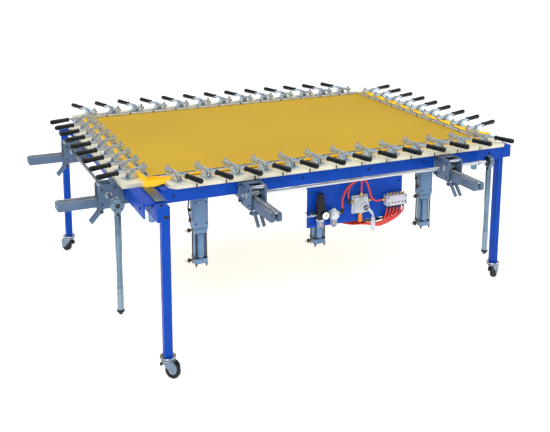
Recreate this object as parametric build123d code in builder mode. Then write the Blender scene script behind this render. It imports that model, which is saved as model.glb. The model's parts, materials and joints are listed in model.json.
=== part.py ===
"""A pneumatic screen-mesh stretching table: a wheeled steel base that carries four rows of toggle clamps.

Frame: the origin is on the floor under the middle of the whole footprint, +X runs to the right along the
front row, +Y to the rear and +Z up. Places below are counted from the middle of the mesh, and every piece is
moved by FOOTPRINT_MIDDLE as it is written. The front and left rows slide outwards on racks, the lift bars rise on cylinders.
"""
from math import cos, radians, sin
import os

from build123d import *

os.makedirs("parts", exist_ok=True)

# Driving dimensions, in millimetres and degrees
FOOTPRINT_MIDDLE = (-84, -97.5)  # of the whole outline, from the middle of the mesh
PITCH = 150  # from clamp to clamp along a row
SKEW = 19.1  # turn of each clamp in plan, away from square to its row
LONG_COUNT = 13  # clamps in the front row and in the rear row
SHORT_COUNT = 9  # clamps in the left row and in the right row
ROW_Y = 767.5  # clamp reference line of the long rows
ROW_X = 1037.6  # clamp reference line of the short rows
FRONT_START = -846  # first clamp of each row, measured along the row
REAR_START = -939
LEFT_START = -633
RIGHT_START = -579

TABLE_Z = 826  # top of the beams, under the clamp plates
PLATE = 20  # thickness of a clamp plate
PLATE_DEPTH = 150
PLATE_OUT = 65.5  # from the reference line to a plate's outer edge
PLATE_GAP = 3
PLATE_SHIFT = 19.3  # of the plates along the row, behind their clamps
DECK_Z = TABLE_Z + PLATE
MESH_Z = DECK_Z + 3
MESH = 1.2
MESH_SIZE = (1956, 1414)

RAIL = 60  # width of a base rail
WALL = 4  # of the base rails
RAIL_Z = 757  # underside of the base rails and of the beam webs
RAIL_TOP = 812
LEG = 40
LEG_FOOT = 99
LEFT_RAIL_X = -1003
RIGHT_RAIL_X = 1080
REAR_RAIL_Y = 692
TIE_Y = -705
TIE = 50  # width of the front tie
FRONT_LEFT_LEG = (-993, -1037)
FRONT_RIGHT_LEG = (1080, -748)
REAR_LEFT_LEG = (-1106, 692)
REAR_RIGHT_LEG = (1080, 692)

FRONT_WEB_Y = -815  # outer face of the front beam
LEFT_WEB_X = -1075  # outer face of the left beam
WEB = 8
FLANGE = 8
FRONT_BEAM_X = (-940, 1046)
LEFT_BEAM_Y = (-985, 652)

RACK_Z = 732
RACK_HEIGHT = 44
RACK_WIDTH = 56
TOOTH_STRIP = 4.5
SHAFT_Z = 772
SHAFT_R = 10
PINION_R = 13
RUNNING = 0.05  # radial clearance of a running fit
FRONT_RACKS = (-495, 647)
LEFT_RACKS = (-575, 283)
FRONT_SHAFT_Y = -885
LEFT_SHAFT_X = -1145
FRONT_RACK_END = -1145
LEFT_RACK_END = -1388
BOX_WIDTH = 90
BOX_DEPTH = 118
BOX_TALL = 118
WRENCH_DROP = 540

CYLINDER_X = (-700, -30, 640)
CYLINDER_FRONT_Y = -650
CYLINDER_REAR_Y = 632
PANEL_X = (-170, 400)
PANEL_Z = (515, 728)
PANEL_Y = -800

WHEEL_R = 37.5
WHEEL_WIDTH = 24
TRAIL = 26


def save(piece, name):
    """Moves a finished piece to the footprint's own frame, labels it and writes its STEP file."""
    piece.part.location = Location((-FOOTPRINT_MIDDLE[0], -FOOTPRINT_MIDDLE[1], 0))
    piece.part.label = name
    export_step(piece.part, f"parts/{name}.step")


def upright(x, y):
    """A plane across the table at x, y: its own x runs along +X, its own y runs up."""
    return Plane(origin=(x, y, 0), x_dir=(1, 0, 0), z_dir=(0, -1, 0))


def sideways(x, y):
    """A plane along the table at x, y: its own x runs along +Y, its own y runs up."""
    return Plane(origin=(x, y, 0), x_dir=(0, 1, 0), z_dir=(1, 0, 0))


# Rows of clamps. Each place stands on a row's reference line with its own +Y pointing outwards.
def row_places(start, count, line, turn):
    """Places along a row: turn is the row's outward heading, counted from +Y."""
    outward = radians(turn + 90)
    along_x = abs(cos(outward)) < 0.5
    places = []
    for index in range(count):
        step = start + PITCH * index
        spot = (step, line * sin(outward)) if along_x else (line * cos(outward), step)
        places.append(Location((spot[0], spot[1], 0), (0, 0, turn)))
    return places


ROWS = {
    "front": row_places(FRONT_START, LONG_COUNT, ROW_Y, 180),
    "rear": row_places(REAR_START, LONG_COUNT, ROW_Y, 0),
    "left": row_places(LEFT_START, SHORT_COUNT, ROW_X, 90),
    "right": row_places(RIGHT_START, SHORT_COUNT, ROW_X, -90),
}

# One clamp, in the frame of its place. The side profiles lie in a plane turned by SKEW,
# with s pointing outwards. All pivots run along the row, so a whole row can turn as one.
SIDE = Plane(
    origin=(0, 0, 0),
    x_dir=(-sin(radians(SKEW)), cos(radians(SKEW)), 0),
    z_dir=(cos(radians(SKEW)), sin(radians(SKEW)), 0),
)
ARM_PIVOT = (-14.8, 872)
LEVER_PIVOT = (6.4, 886)
LINK_PIVOT = (8.5, 857)
PIN_R = 2.5
PIN_PLAY = 0.08
TOGGLE = 14.5  # reach of the lever lug and of the link
SPINDLE_S = -75
SPINDLE_TOP = 911
JAW_LENGTH = 140
JAW_DEPTH = 22
JAW_Z = MESH_Z + 2
JAW_HEIGHT = 12
GRIP_START = 74
GRIP_END = 192
GRIP_Z = 887
TANG_R = 4


def on_arm(s):
    """The point of the clamp's own frame at distance s along its arm."""
    return (-s * sin(radians(SKEW)), s * cos(radians(SKEW)))


with BuildPart() as clamp_base:
    with BuildSketch(SIDE):
        with BuildLine():
            Polyline(
                (-30, DECK_Z), (34, DECK_Z), (34, DECK_Z + 4), (18, DECK_Z + 5), (15, 866),
                (-8, 879), (-21, 879), (-24, DECK_Z + 5), (-30, DECK_Z + 4), (-30, DECK_Z),
            )
        make_face()
    extrude(amount=19, both=True)
    with BuildSketch(SIDE):
        with Locations((0, DECK_Z + 54)):
            Rectangle(80, 100)
    extrude(amount=16, both=True, mode=Mode.SUBTRACT)
    with BuildSketch(Plane.YZ):
        for pivot in (ARM_PIVOT, LINK_PIVOT):
            with Locations((pivot[0] * cos(radians(SKEW)), pivot[1])):
                Circle(PIN_R)
    extrude(amount=19, both=True)

with BuildPart() as clamp_arm:
    with BuildSketch(SIDE):
        with BuildLine():
            Polyline(
                (-92, 880), (-92, 893), (-20, 893), (8, 891), (12, 886), (8, 881),
                (-6, 877), (-10, 867), (-19, 867), (-24, 879), (-92, 880),
            )
        make_face()
    extrude(amount=3, both=True)
    with BuildSketch(SIDE):
        with Locations((-63, 886.5)):
            Rectangle(58, 13)
    extrude(amount=10, both=True)
    with Locations((*on_arm(SPINDLE_S), 886)):
        Hole(5.5, depth=60)
    with BuildSketch(Plane.YZ):
        for pivot in (ARM_PIVOT, LEVER_PIVOT):
            with Locations((pivot[0] * cos(radians(SKEW)), pivot[1])):
                Circle(PIN_R + PIN_PLAY)
    extrude(amount=30, both=True, mode=Mode.SUBTRACT)

with BuildPart() as clamp_jaw:
    with Locations((*on_arm(SPINDLE_S), JAW_Z + JAW_HEIGHT / 2)):
        Box(JAW_LENGTH, JAW_DEPTH, JAW_HEIGHT)
    with BuildSketch(Plane.XY.offset(JAW_Z + JAW_HEIGHT)):
        with Locations(on_arm(SPINDLE_S)):
            Circle(5)
    extrude(amount=SPINDLE_TOP - JAW_Z - JAW_HEIGHT)
    for nut_z in (872.5, 893.5):
        with BuildSketch(Plane.XY.offset(nut_z)):
            with Locations(on_arm(SPINDLE_S)):
                RegularPolygon(9, 6)
        extrude(amount=7)

with BuildPart() as clamp_lever:
    with BuildSketch(SIDE):
        with BuildLine():
            Polyline(
                (-1, 893), (-1, 881), (3, 868), (12, 868), (17, 880), (GRIP_START, 881),
                (GRIP_START, 893), (-1, 893),
            )
        make_face()
    extrude(amount=11, both=True)
    with BuildSketch(SIDE):
        with Locations((15, 880)):
            Rectangle(50, 40)
    extrude(amount=8.5, both=True, mode=Mode.SUBTRACT)
    with BuildSketch(Plane.YZ):
        with Locations((LEVER_PIVOT[0] * cos(radians(SKEW)), LEVER_PIVOT[1])):
            Circle(PIN_R)
    extrude(amount=10, both=True)
    with BuildSketch(Plane(origin=(*on_arm(GRIP_START), GRIP_Z), x_dir=(0, 0, 1), z_dir=(*on_arm(1), 0))):
        Circle(TANG_R)
    extrude(amount=80)

with BuildPart() as clamp_grip:
    with BuildSketch(SIDE):
        with BuildLine():
            Polyline(
                (GRIP_START + 0.5, GRIP_Z), (GRIP_START + 0.5, GRIP_Z + 14), (GRIP_START + 5, GRIP_Z + 14),
                (GRIP_START + 8, GRIP_Z + 11), (GRIP_END - 12, GRIP_Z + 12.5), (GRIP_END - 3, GRIP_Z + 9),
                (GRIP_END, GRIP_Z + 3), (GRIP_END, GRIP_Z), (GRIP_START + 0.5, GRIP_Z),
            )
        make_face()
    revolve(axis=Axis((*on_arm(GRIP_START), GRIP_Z), (*on_arm(1), 0)))
    with BuildSketch(Plane(origin=(*on_arm(GRIP_START), GRIP_Z), x_dir=(0, 0, 1), z_dir=(*on_arm(1), 0))):
        Circle(TANG_R + RUNNING)
    extrude(amount=81, mode=Mode.SUBTRACT)

with BuildPart() as clamp_link:
    with BuildSketch(SIDE.offset(4)):
        with Locations((LINK_PIVOT[0] - 0.5, LINK_PIVOT[1] + TOGGLE / 2)):
            SlotOverall(TOGGLE + 8, 8, rotation=94)
    extrude(amount=2.5)
    with BuildSketch(Plane.YZ):
        with Locations((LINK_PIVOT[0] * cos(radians(SKEW)), LINK_PIVOT[1])):
            Circle(PIN_R + PIN_PLAY)
    extrude(amount=30, both=True, mode=Mode.SUBTRACT)

CLAMP_PIECES = {
    "clamp_arms": clamp_arm,
    "jaws": clamp_jaw,
    "levers": clamp_lever,
    "grips": clamp_grip,
    "links": clamp_link,
}
for side, places in ROWS.items():
    for piece_name, shape in CLAMP_PIECES.items():
        with BuildPart() as row:
            with Locations(*places):
                add(shape.part)
        save(row, f"{side}_{piece_name}")

# Clamp plates: one cream plate under each clamp, butted along the row
with BuildPart() as clamp_plate:
    with Locations((-PLATE_SHIFT, PLATE_OUT - PLATE_DEPTH / 2, TABLE_Z + PLATE / 2)):
        Box(PITCH - PLATE_GAP, PLATE_DEPTH, PLATE)

BASE_GROUPS = {"front": ("front",), "left": ("left",), "fixed": ("rear", "right")}
for group, sides in BASE_GROUPS.items():
    group_places = [place for side in sides for place in ROWS[side]]
    with BuildPart() as plates:
        with Locations(*group_places):
            add(clamp_plate.part)
        if group == "front":
            # The first two plates are one, with its outer corner cut off
            seam_x = FRONT_START + PITCH / 2 + PLATE_SHIFT
            with Locations((seam_x, PLATE_DEPTH / 2 - PLATE_OUT - ROW_Y, TABLE_Z + PLATE / 2)):
                Box(PLATE_GAP, PLATE_DEPTH, PLATE)
            corner = plates.edges().filter_by(Axis.Z).group_by(Axis.X)[0].sort_by(Axis.Y)[0]
            chamfer(corner, 30)
    save(plates, f"{group}_plates")
    with BuildPart() as bases:
        with Locations(*group_places):
            add(clamp_base.part)
    save(bases, f"{group}_clamp_bases")

# The mesh that is being stretched, held between jaws and plates
with BuildPart() as mesh_sheet:
    with Locations((0, 0, MESH_Z + MESH / 2)):
        Box(*MESH_SIZE, MESH)
save(mesh_sheet, "mesh_sheet")

# Base: four legs, the side rails, the rear rail and the front tie
with BuildPart() as legs:
    for spot in (FRONT_LEFT_LEG, FRONT_RIGHT_LEG, REAR_LEFT_LEG, REAR_RIGHT_LEG):
        with BuildSketch(Plane.XY.offset(LEG_FOOT)):
            with Locations(spot):
                RectangleRounded(LEG, LEG, 5)
                Rectangle(LEG - 6, LEG - 6, mode=Mode.SUBTRACT)
        extrude(amount=RAIL_Z - LEG_FOOT)
        with BuildSketch(Plane.XY.offset(LEG_FOOT)):
            with Locations(spot):
                Rectangle(LEG + 14, LEG + 14)
        extrude(amount=6)
save(legs, "legs")

with BuildPart() as base_rails:
    rail_height = RAIL_TOP - RAIL_Z
    rail_middle = (RAIL_TOP + RAIL_Z) / 2
    left_front = FRONT_LEFT_LEG[1] - LEG / 2
    rear_edge = REAR_RAIL_Y + RAIL / 2
    rear_left = REAR_LEFT_LEG[0] - RAIL / 2
    rear_right = RIGHT_RAIL_X + RAIL / 2
    spans = (
        (LEFT_RAIL_X, (left_front + rear_edge) / 2, RAIL, rear_edge - left_front),
        (RIGHT_RAIL_X, (FRONT_WEB_Y + rear_edge) / 2, RAIL, rear_edge - FRONT_WEB_Y),
        ((rear_left + rear_right) / 2, REAR_RAIL_Y, rear_right - rear_left, RAIL),
        ((LEFT_RAIL_X + RIGHT_RAIL_X) / 2, TIE_Y, RIGHT_RAIL_X - LEFT_RAIL_X, TIE),
    )
    for x, y, wide, deep in spans:
        with Locations((x, y, rail_middle)):
            Box(wide, deep, rail_height)
    for x, y, wide, deep in spans:
        with Locations((x, y, rail_middle)):
            Box(wide - 2 * WALL, deep - 2 * WALL, rail_height - 2 * WALL, mode=Mode.SUBTRACT)
    with Locations((LEFT_RAIL_X, left_front + RAIL / 2, RAIL_TOP + 7)):
        Box(RAIL, RAIL, 14)
    with Locations((RIGHT_RAIL_X, FRONT_WEB_Y + 40, RAIL_TOP + 7)):
        Box(RAIL, 80, 14)
    strip_front = left_front + RAIL + 30
    with Locations((LEFT_RAIL_X, (strip_front + 640) / 2, RAIL_TOP + 2.5)):
        Box(46, 640 - strip_front, 5)
save(base_rails, "base_rails")

# Fixed beams: flat steel under the rear and right clamp rows
with BuildPart() as fixed_beams:
    with Locations((-58, 757, (TABLE_Z + RAIL_TOP) / 2)):
        Box(1950, 144, TABLE_Z - RAIL_TOP)
    with Locations((1028, 40, (TABLE_Z + RAIL_TOP) / 2)):
        Box(146, 1350, TABLE_Z - RAIL_TOP)
save(fixed_beams, "fixed_beams")

# Moving beams: an outer web with a top flange, notched where the toothed strips pass
NOTCH = (RACK_WIDTH / 2, 10)
with BuildPart() as front_beam:
    with BuildSketch(Plane.YZ.offset(FRONT_BEAM_X[0])):
        with Locations((FRONT_WEB_Y, RAIL_Z)):
            Rectangle(WEB, TABLE_Z - RAIL_Z, align=(Align.MIN, Align.MIN))
        with Locations((FRONT_WEB_Y, TABLE_Z)):
            Rectangle(120, FLANGE, align=(Align.MIN, Align.MAX))
    extrude(amount=FRONT_BEAM_X[1] - FRONT_BEAM_X[0])
    for rack_x in FRONT_RACKS:
        with Locations((rack_x, FRONT_WEB_Y, RAIL_Z)):
            Box(NOTCH[0], 40, 2 * NOTCH[1], mode=Mode.SUBTRACT)
save(front_beam, "front_beam")

with BuildPart() as left_beam:
    with BuildSketch(Plane.XZ.offset(-LEFT_BEAM_Y[1])):
        with Locations((LEFT_WEB_X, RAIL_Z)):
            Rectangle(WEB, TABLE_Z - RAIL_Z, align=(Align.MIN, Align.MIN))
        with Locations((LEFT_WEB_X, TABLE_Z)):
            Rectangle(120, FLANGE, align=(Align.MIN, Align.MAX))
    extrude(amount=LEFT_BEAM_Y[1] - LEFT_BEAM_Y[0])
    for rack_y in LEFT_RACKS:
        with Locations((LEFT_WEB_X, rack_y, RAIL_Z)):
            Box(40, NOTCH[0], 2 * NOTCH[1], mode=Mode.SUBTRACT)
save(left_beam, "left_beam")

# Racks: twin bars with a toothed strip on top, hung under the base
RACK_TOP = RACK_Z + RACK_HEIGHT / 2
GROOVE = (14, 12)


def rack_profile():
    """Section of a rack about its own centre: twin bars joined by a web, with the toothed strip."""
    Rectangle(RACK_WIDTH, RACK_HEIGHT)
    with Locations((0, RACK_HEIGHT / 2 + TOOTH_STRIP / 2)):
        Rectangle(16, TOOTH_STRIP)
    with Locations((0, -RACK_HEIGHT / 2)):
        Rectangle(GROOVE[0], 2 * GROOVE[1], mode=Mode.SUBTRACT)


with BuildPart() as racks:
    front_root = TIE_Y + TIE / 2
    left_root = LEFT_RAIL_X + RAIL / 2
    for rack_x in FRONT_RACKS:
        with BuildSketch(upright(rack_x, FRONT_RACK_END)):
            with Locations((0, RACK_Z)):
                rack_profile()
        extrude(amount=FRONT_RACK_END - front_root)
        with Locations((rack_x, front_root - 45, RACK_TOP + 5)):
            Box(RACK_WIDTH, 90, 10, mode=Mode.SUBTRACT)
        with Locations((rack_x, front_root - 25, (RACK_TOP + RAIL_Z) / 2)):
            Box(RACK_WIDTH, 50, RAIL_Z - RACK_TOP)
    for rack_y in LEFT_RACKS:
        with BuildSketch(sideways(LEFT_RACK_END, rack_y)):
            with Locations((0, RACK_Z)):
                rack_profile()
        extrude(amount=left_root - LEFT_RACK_END)
        with Locations((left_root - 45, rack_y, RACK_TOP + 5)):
            Box(90, RACK_WIDTH, 10, mode=Mode.SUBTRACT)
        with Locations((left_root - 30, rack_y, (RACK_TOP + RAIL_Z) / 2)):
            Box(60, RACK_WIDTH, RAIL_Z - RACK_TOP)
save(racks, "racks")

# Gear boxes: cheeks, top and bottom around each rack, with lugs for the pawls
BOX_TOP = 822
BOX_FLOOR = BOX_TOP - BOX_TALL
PAWL_DROP = 18


def gear_box():
    """A gear box about the middle of its rack, with its back on the web and +Y pointing outwards."""
    with Locations((0, BOX_DEPTH / 2, BOX_TOP - BOX_TALL / 2)):
        Box(BOX_WIDTH, BOX_DEPTH, BOX_TALL)
    with Locations((0, BOX_DEPTH / 2, (BOX_FLOOR + BOX_TOP) / 2 - 2)):
        Box(RACK_WIDTH + 6, BOX_DEPTH, BOX_TALL - 8, mode=Mode.SUBTRACT)
    with Locations((0, BOX_DEPTH / 2, BOX_FLOOR + 1)):
        Box(BOX_WIDTH, BOX_DEPTH, 4)
    with Locations((-30, BOX_DEPTH - 14, BOX_FLOOR - 13), (0, BOX_DEPTH - 14, BOX_FLOOR - 13),
                   (30, BOX_DEPTH - 14, BOX_FLOOR - 13)):
        Box(6, 16, 26)


FRONT_BOX_PLACES = [Location((rack_x, FRONT_WEB_Y, 0), (0, 0, 180)) for rack_x in FRONT_RACKS]
LEFT_BOX_PLACES = [Location((LEFT_WEB_X, rack_y, 0), (0, 0, 90)) for rack_y in LEFT_RACKS]
with BuildPart() as box_shape:
    gear_box()
with BuildPart() as front_gear_boxes:
    with Locations(*FRONT_BOX_PLACES):
        add(box_shape.part)
    with BuildSketch(Plane.YZ.offset(-600)):
        with Locations((FRONT_SHAFT_Y, SHAFT_Z)):
            Circle(SHAFT_R + RUNNING)
    extrude(amount=1400, mode=Mode.SUBTRACT)
save(front_gear_boxes, "front_gear_boxes")
with BuildPart() as left_gear_boxes:
    with Locations(*LEFT_BOX_PLACES):
        add(box_shape.part)
    with BuildSketch(Plane.XZ.offset(-400)):
        with Locations((LEFT_SHAFT_X, SHAFT_Z)):
            Circle(SHAFT_R + RUNNING)
    extrude(amount=1200, mode=Mode.SUBTRACT)
save(left_gear_boxes, "left_gear_boxes")

# Pinion shafts, each with a pinion over every rack
FRONT_SHAFT_X = (-560, 890)
LEFT_SHAFT_Y = (-775, 350)
with BuildPart() as front_shaft:
    with BuildSketch(Plane.YZ.offset(FRONT_SHAFT_X[0])):
        with Locations((FRONT_SHAFT_Y, SHAFT_Z)):
            Circle(SHAFT_R)
    extrude(amount=FRONT_SHAFT_X[1] - FRONT_SHAFT_X[0])
    for rack_x in FRONT_RACKS:
        with BuildSketch(Plane.YZ.offset(rack_x - 10)):
            with Locations((FRONT_SHAFT_Y, SHAFT_Z)):
                Circle(PINION_R)
        extrude(amount=20)
save(front_shaft, "front_pinion_shaft")
with BuildPart() as left_shaft:
    with BuildSketch(Plane.XZ.offset(-LEFT_SHAFT_Y[1])):
        with Locations((LEFT_SHAFT_X, SHAFT_Z)):
            Circle(SHAFT_R)
    extrude(amount=LEFT_SHAFT_Y[1] - LEFT_SHAFT_Y[0])
    for rack_y in LEFT_RACKS:
        with BuildSketch(Plane.XZ.offset(-rack_y - 10)):
            with Locations((LEFT_SHAFT_X, SHAFT_Z)):
                Circle(PINION_R)
        extrude(amount=20)
save(left_shaft, "left_pinion_shaft")

# Torque wrenches: a ratchet head on the shaft end, a tube and a grip sleeve
HEAD_R = 27
TUBE_R = 14
GRIP_SLEEVE = 105


def make_wrench(end, axis):
    """A hanging wrench: end is the middle of its head, axis the direction of the shaft."""
    with BuildPart() as tool:
        with BuildSketch(Plane(origin=end, z_dir=axis)):
            Circle(HEAD_R)
        extrude(amount=13, both=True)
        with BuildSketch(Plane(origin=(end[0], end[1], end[2] - HEAD_R + 6), z_dir=(0, 0, -1))):
            Circle(TUBE_R)
        extrude(amount=WRENCH_DROP - HEAD_R + 6 - GRIP_SLEEVE)
        with BuildSketch(Plane(origin=(end[0], end[1], end[2] - WRENCH_DROP + GRIP_SLEEVE), z_dir=(0, 0, -1))):
            Circle(TUBE_R + 2)
        extrude(amount=GRIP_SLEEVE)
    return tool


save(make_wrench((FRONT_SHAFT_X[1] + 15, FRONT_SHAFT_Y, SHAFT_Z), (1, 0, 0)), "front_torque_wrench")
save(make_wrench((LEFT_SHAFT_X, LEFT_SHAFT_Y[0] - 15, SHAFT_Z), (0, 1, 0)), "left_torque_wrench")

# Pawls: two flat locking levers under each gear box
with BuildPart() as pawl_shape:
    with BuildSketch(Plane.YZ):
        with Locations((BOX_DEPTH - 14, BOX_FLOOR - PAWL_DROP)):
            Circle(7)
        with BuildLine():
            Polyline(
                (BOX_DEPTH - 20, BOX_FLOOR - PAWL_DROP - 4), (BOX_DEPTH + 30, BOX_FLOOR - PAWL_DROP - 58),
                (BOX_DEPTH + 38, BOX_FLOOR - PAWL_DROP - 52), (BOX_DEPTH - 8, BOX_FLOOR - PAWL_DROP + 4),
                (BOX_DEPTH - 20, BOX_FLOOR - PAWL_DROP - 4),
            )
        make_face()
    extrude(amount=8, both=True)

PAWL_GROUPS = {"front": FRONT_BOX_PLACES, "left": LEFT_BOX_PLACES}
for side, places in PAWL_GROUPS.items():
    with BuildPart() as pawls:
        with Locations(*[place * Location((shift, 0, 0)) for place in places for shift in (-15, 15)]):
            add(pawl_shape.part)
    save(pawls, f"{side}_pawls")

# Lift cylinders: bracket, barrel, end caps with tie rods, and the rods that carry the lift bars
CYLINDERS = [(x, y) for y in (CYLINDER_FRONT_Y, CYLINDER_REAR_Y) for x in CYLINDER_X]
CAP = 72
BARREL_R = 32
BARREL_Z = (395, 530)
BRACKET_Z = 552
BRACKET_TOP = 800
ROD_R = 10
BAR_Z = 765
with BuildPart() as cylinder_brackets:
    for spot in CYLINDERS:
        inward = -1 if spot[1] > 0 else 1
        with Locations((*spot, (BRACKET_Z + BRACKET_TOP) / 2)):
            Box(CAP + 4, 60, BRACKET_TOP - BRACKET_Z)
        with Locations((spot[0], spot[1] + 6 * inward, (BRACKET_Z + BRACKET_TOP) / 2)):
            Box(CAP - 8, 60, BRACKET_TOP - BRACKET_Z, mode=Mode.SUBTRACT)
save(cylinder_brackets, "cylinder_brackets")

with BuildPart() as cylinder_barrels:
    for spot in CYLINDERS:
        with BuildSketch(Plane.XY.offset(BARREL_Z[0])):
            with Locations(spot):
                Circle(BARREL_R)
                Circle(BARREL_R - 4, mode=Mode.SUBTRACT)
        extrude(amount=BARREL_Z[1] - BARREL_Z[0])
save(cylinder_barrels, "cylinder_barrels")

with BuildPart() as cylinder_caps:
    for spot in CYLINDERS:
        with BuildSketch(Plane.XY.offset(BARREL_Z[0])):
            with Locations(spot):
                RectangleRounded(CAP, CAP, 8)
        extrude(amount=-26)
        with BuildSketch(Plane.XY.offset(BARREL_Z[1])):
            with Locations(spot):
                RectangleRounded(CAP, CAP, 8)
                Circle(ROD_R + RUNNING, mode=Mode.SUBTRACT)
        extrude(amount=BRACKET_Z - BARREL_Z[1])
        with BuildSketch(Plane.XY.offset(BARREL_Z[0])):
            with Locations(spot):
                with GridLocations(54, 54, 2, 2):
                    Circle(4)
        extrude(amount=BARREL_Z[1] - BARREL_Z[0])
        with BuildSketch(Plane.XY.offset(BARREL_Z[0] - 26)):
            with Locations(spot):
                with GridLocations(54, 54, 2, 2):
                    Circle(5)
        extrude(amount=-14)
save(cylinder_caps, "cylinder_caps")

with BuildPart() as lift_carriage:
    for spot in CYLINDERS:
        with BuildSketch(Plane.XY.offset(BARREL_Z[0] + 20)):
            with Locations(spot):
                Circle(BARREL_R - 4.1)
        extrude(amount=16)
        with BuildSketch(Plane.XY.offset(BARREL_Z[0] + 20)):
            with Locations(spot):
                Circle(ROD_R)
        extrude(amount=BAR_Z - BARREL_Z[0] - 20)
    for x in CYLINDER_X:
        with Locations((x, (CYLINDER_FRONT_Y + CYLINDER_REAR_Y) / 2, BAR_Z + 12)):
            Box(40, CYLINDER_REAR_Y - CYLINDER_FRONT_Y + 36, 24)
save(lift_carriage, "lift_carriage")

# Pneumatic panel and the valves on it
with BuildPart() as air_panel:
    panel_middle = ((PANEL_X[0] + PANEL_X[1]) / 2, (PANEL_Z[0] + PANEL_Z[1]) / 2)
    panel_wide = PANEL_X[1] - PANEL_X[0]
    with Locations((panel_middle[0], PANEL_Y + 1.5, panel_middle[1])):
        Box(panel_wide, 3, PANEL_Z[1] - PANEL_Z[0])
    with Locations((panel_middle[0], PANEL_Y + 35, PANEL_Z[1] - 1.5)):
        Box(panel_wide, 70, 3)
    for hanger_x in (PANEL_X[0] + 40, PANEL_X[1] - 40):
        with Locations((hanger_x, PANEL_Y + 68.5, (PANEL_Z[1] + RAIL_Z) / 2)):
            Box(50, 3, RAIL_Z - PANEL_Z[1])
        with Locations((hanger_x, PANEL_Y + 80, RAIL_Z - 1.5)):
            Box(50, 26, 3)
save(air_panel, "air_panel")

REGULATOR = (-107, PANEL_Y - 30)
LUBRICATOR = (-29, PANEL_Y - 30)
with BuildPart() as air_regulator:
    for spot, top in ((REGULATOR, 634), (LUBRICATOR, 600)):
        with BuildSketch(Plane.XY.offset(560)):
            with Locations(spot):
                RectangleRounded(46, 46, 8)
        extrude(amount=top - 560)
    with Locations(((REGULATOR[0] + LUBRICATOR[0]) / 2, PANEL_Y - 30, 580)):
        Box(40, 20, 24)
    with Locations((REGULATOR[0], PANEL_Y - 4, 580), (LUBRICATOR[0], PANEL_Y - 4, 580)):
        Box(30, 8, 30)
    for spot in (REGULATOR, LUBRICATOR):
        with BuildSketch(Plane.XY.offset(560)):
            with Locations(spot):
                Circle(20)
        extrude(amount=-44, taper=8)
save(air_regulator, "air_regulator")

with BuildPart() as regulator_knob:
    with BuildSketch(Plane.XY.offset(634.2)):
        with Locations(REGULATOR):
            Circle(20)
    extrude(amount=12)
    with BuildSketch(Plane.XY.offset(646.2)):
        with Locations(REGULATOR):
            Circle(18)
    extrude(amount=58, taper=3)
save(regulator_knob, "regulator_knob")

VALVE = (133, 610)
with BuildPart() as hand_valve:
    with Locations((VALVE[0], PANEL_Y - 20, VALVE[1])):
        Box(96, 40, 104)
    with BuildSketch(upright(VALVE[0], PANEL_Y - 40)):
        with Locations((0, VALVE[1])):
            Circle(36)
    extrude(amount=16)
    with BuildSketch(Plane.XY.offset(VALVE[1] - 52)):
        with Locations((VALVE[0], PANEL_Y - 20)):
            Circle(11)
    extrude(amount=-44)
save(hand_valve, "hand_valve")

with BuildPart() as valve_lever:
    with BuildSketch(upright(VALVE[0], PANEL_Y - 56.2)):
        with Locations((0, VALVE[1])):
            Circle(20)
        with BuildLine():
            Polyline((10, VALVE[1] + 12), (66, VALVE[1] - 40), (66, VALVE[1] - 140), (54, VALVE[1] - 140),
                     (54, VALVE[1] - 46), (0, VALVE[1] - 12), (10, VALVE[1] + 12))
        make_face()
    extrude(amount=14)
save(valve_lever, "valve_lever")

MANIFOLD = (346, 610)
with BuildPart() as manifold:
    with Locations((MANIFOLD[0], PANEL_Y - 22, MANIFOLD[1])):
        Box(126, 44, 56)
    with BuildSketch(Plane.XY.offset(MANIFOLD[1] - 28)):
        with Locations((MANIFOLD[0], PANEL_Y - 22)):
            with GridLocations(20, 1, 6, 1):
                Circle(7)
    extrude(amount=-16)
    with BuildSketch(Plane.XY.offset(MANIFOLD[1] + 28)):
        with Locations((MANIFOLD[0], PANEL_Y - 22)):
            with GridLocations(20, 1, 6, 1):
                Circle(5)
    extrude(amount=14)
save(manifold, "manifold")

HOSE_R = 5
with BuildPart() as air_hoses:
    loops = [
        [(REGULATOR[0] + 60, PANEL_Y - 30, 606), (20, PANEL_Y - 40, 745), (100, PANEL_Y - 20, 668)],
        [(VALVE[0] + 30, PANEL_Y - 20, 668), (250, PANEL_Y - 30, 742), (MANIFOLD[0] - 20, PANEL_Y - 46, 660)],
    ]
    for loop in loops:
        with BuildLine():
            path = Spline(*loop)
        with BuildSketch(Plane(origin=path @ 0, z_dir=path % 0)):
            Circle(HOSE_R)
        sweep()
save(air_hoses, "air_hoses")

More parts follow.
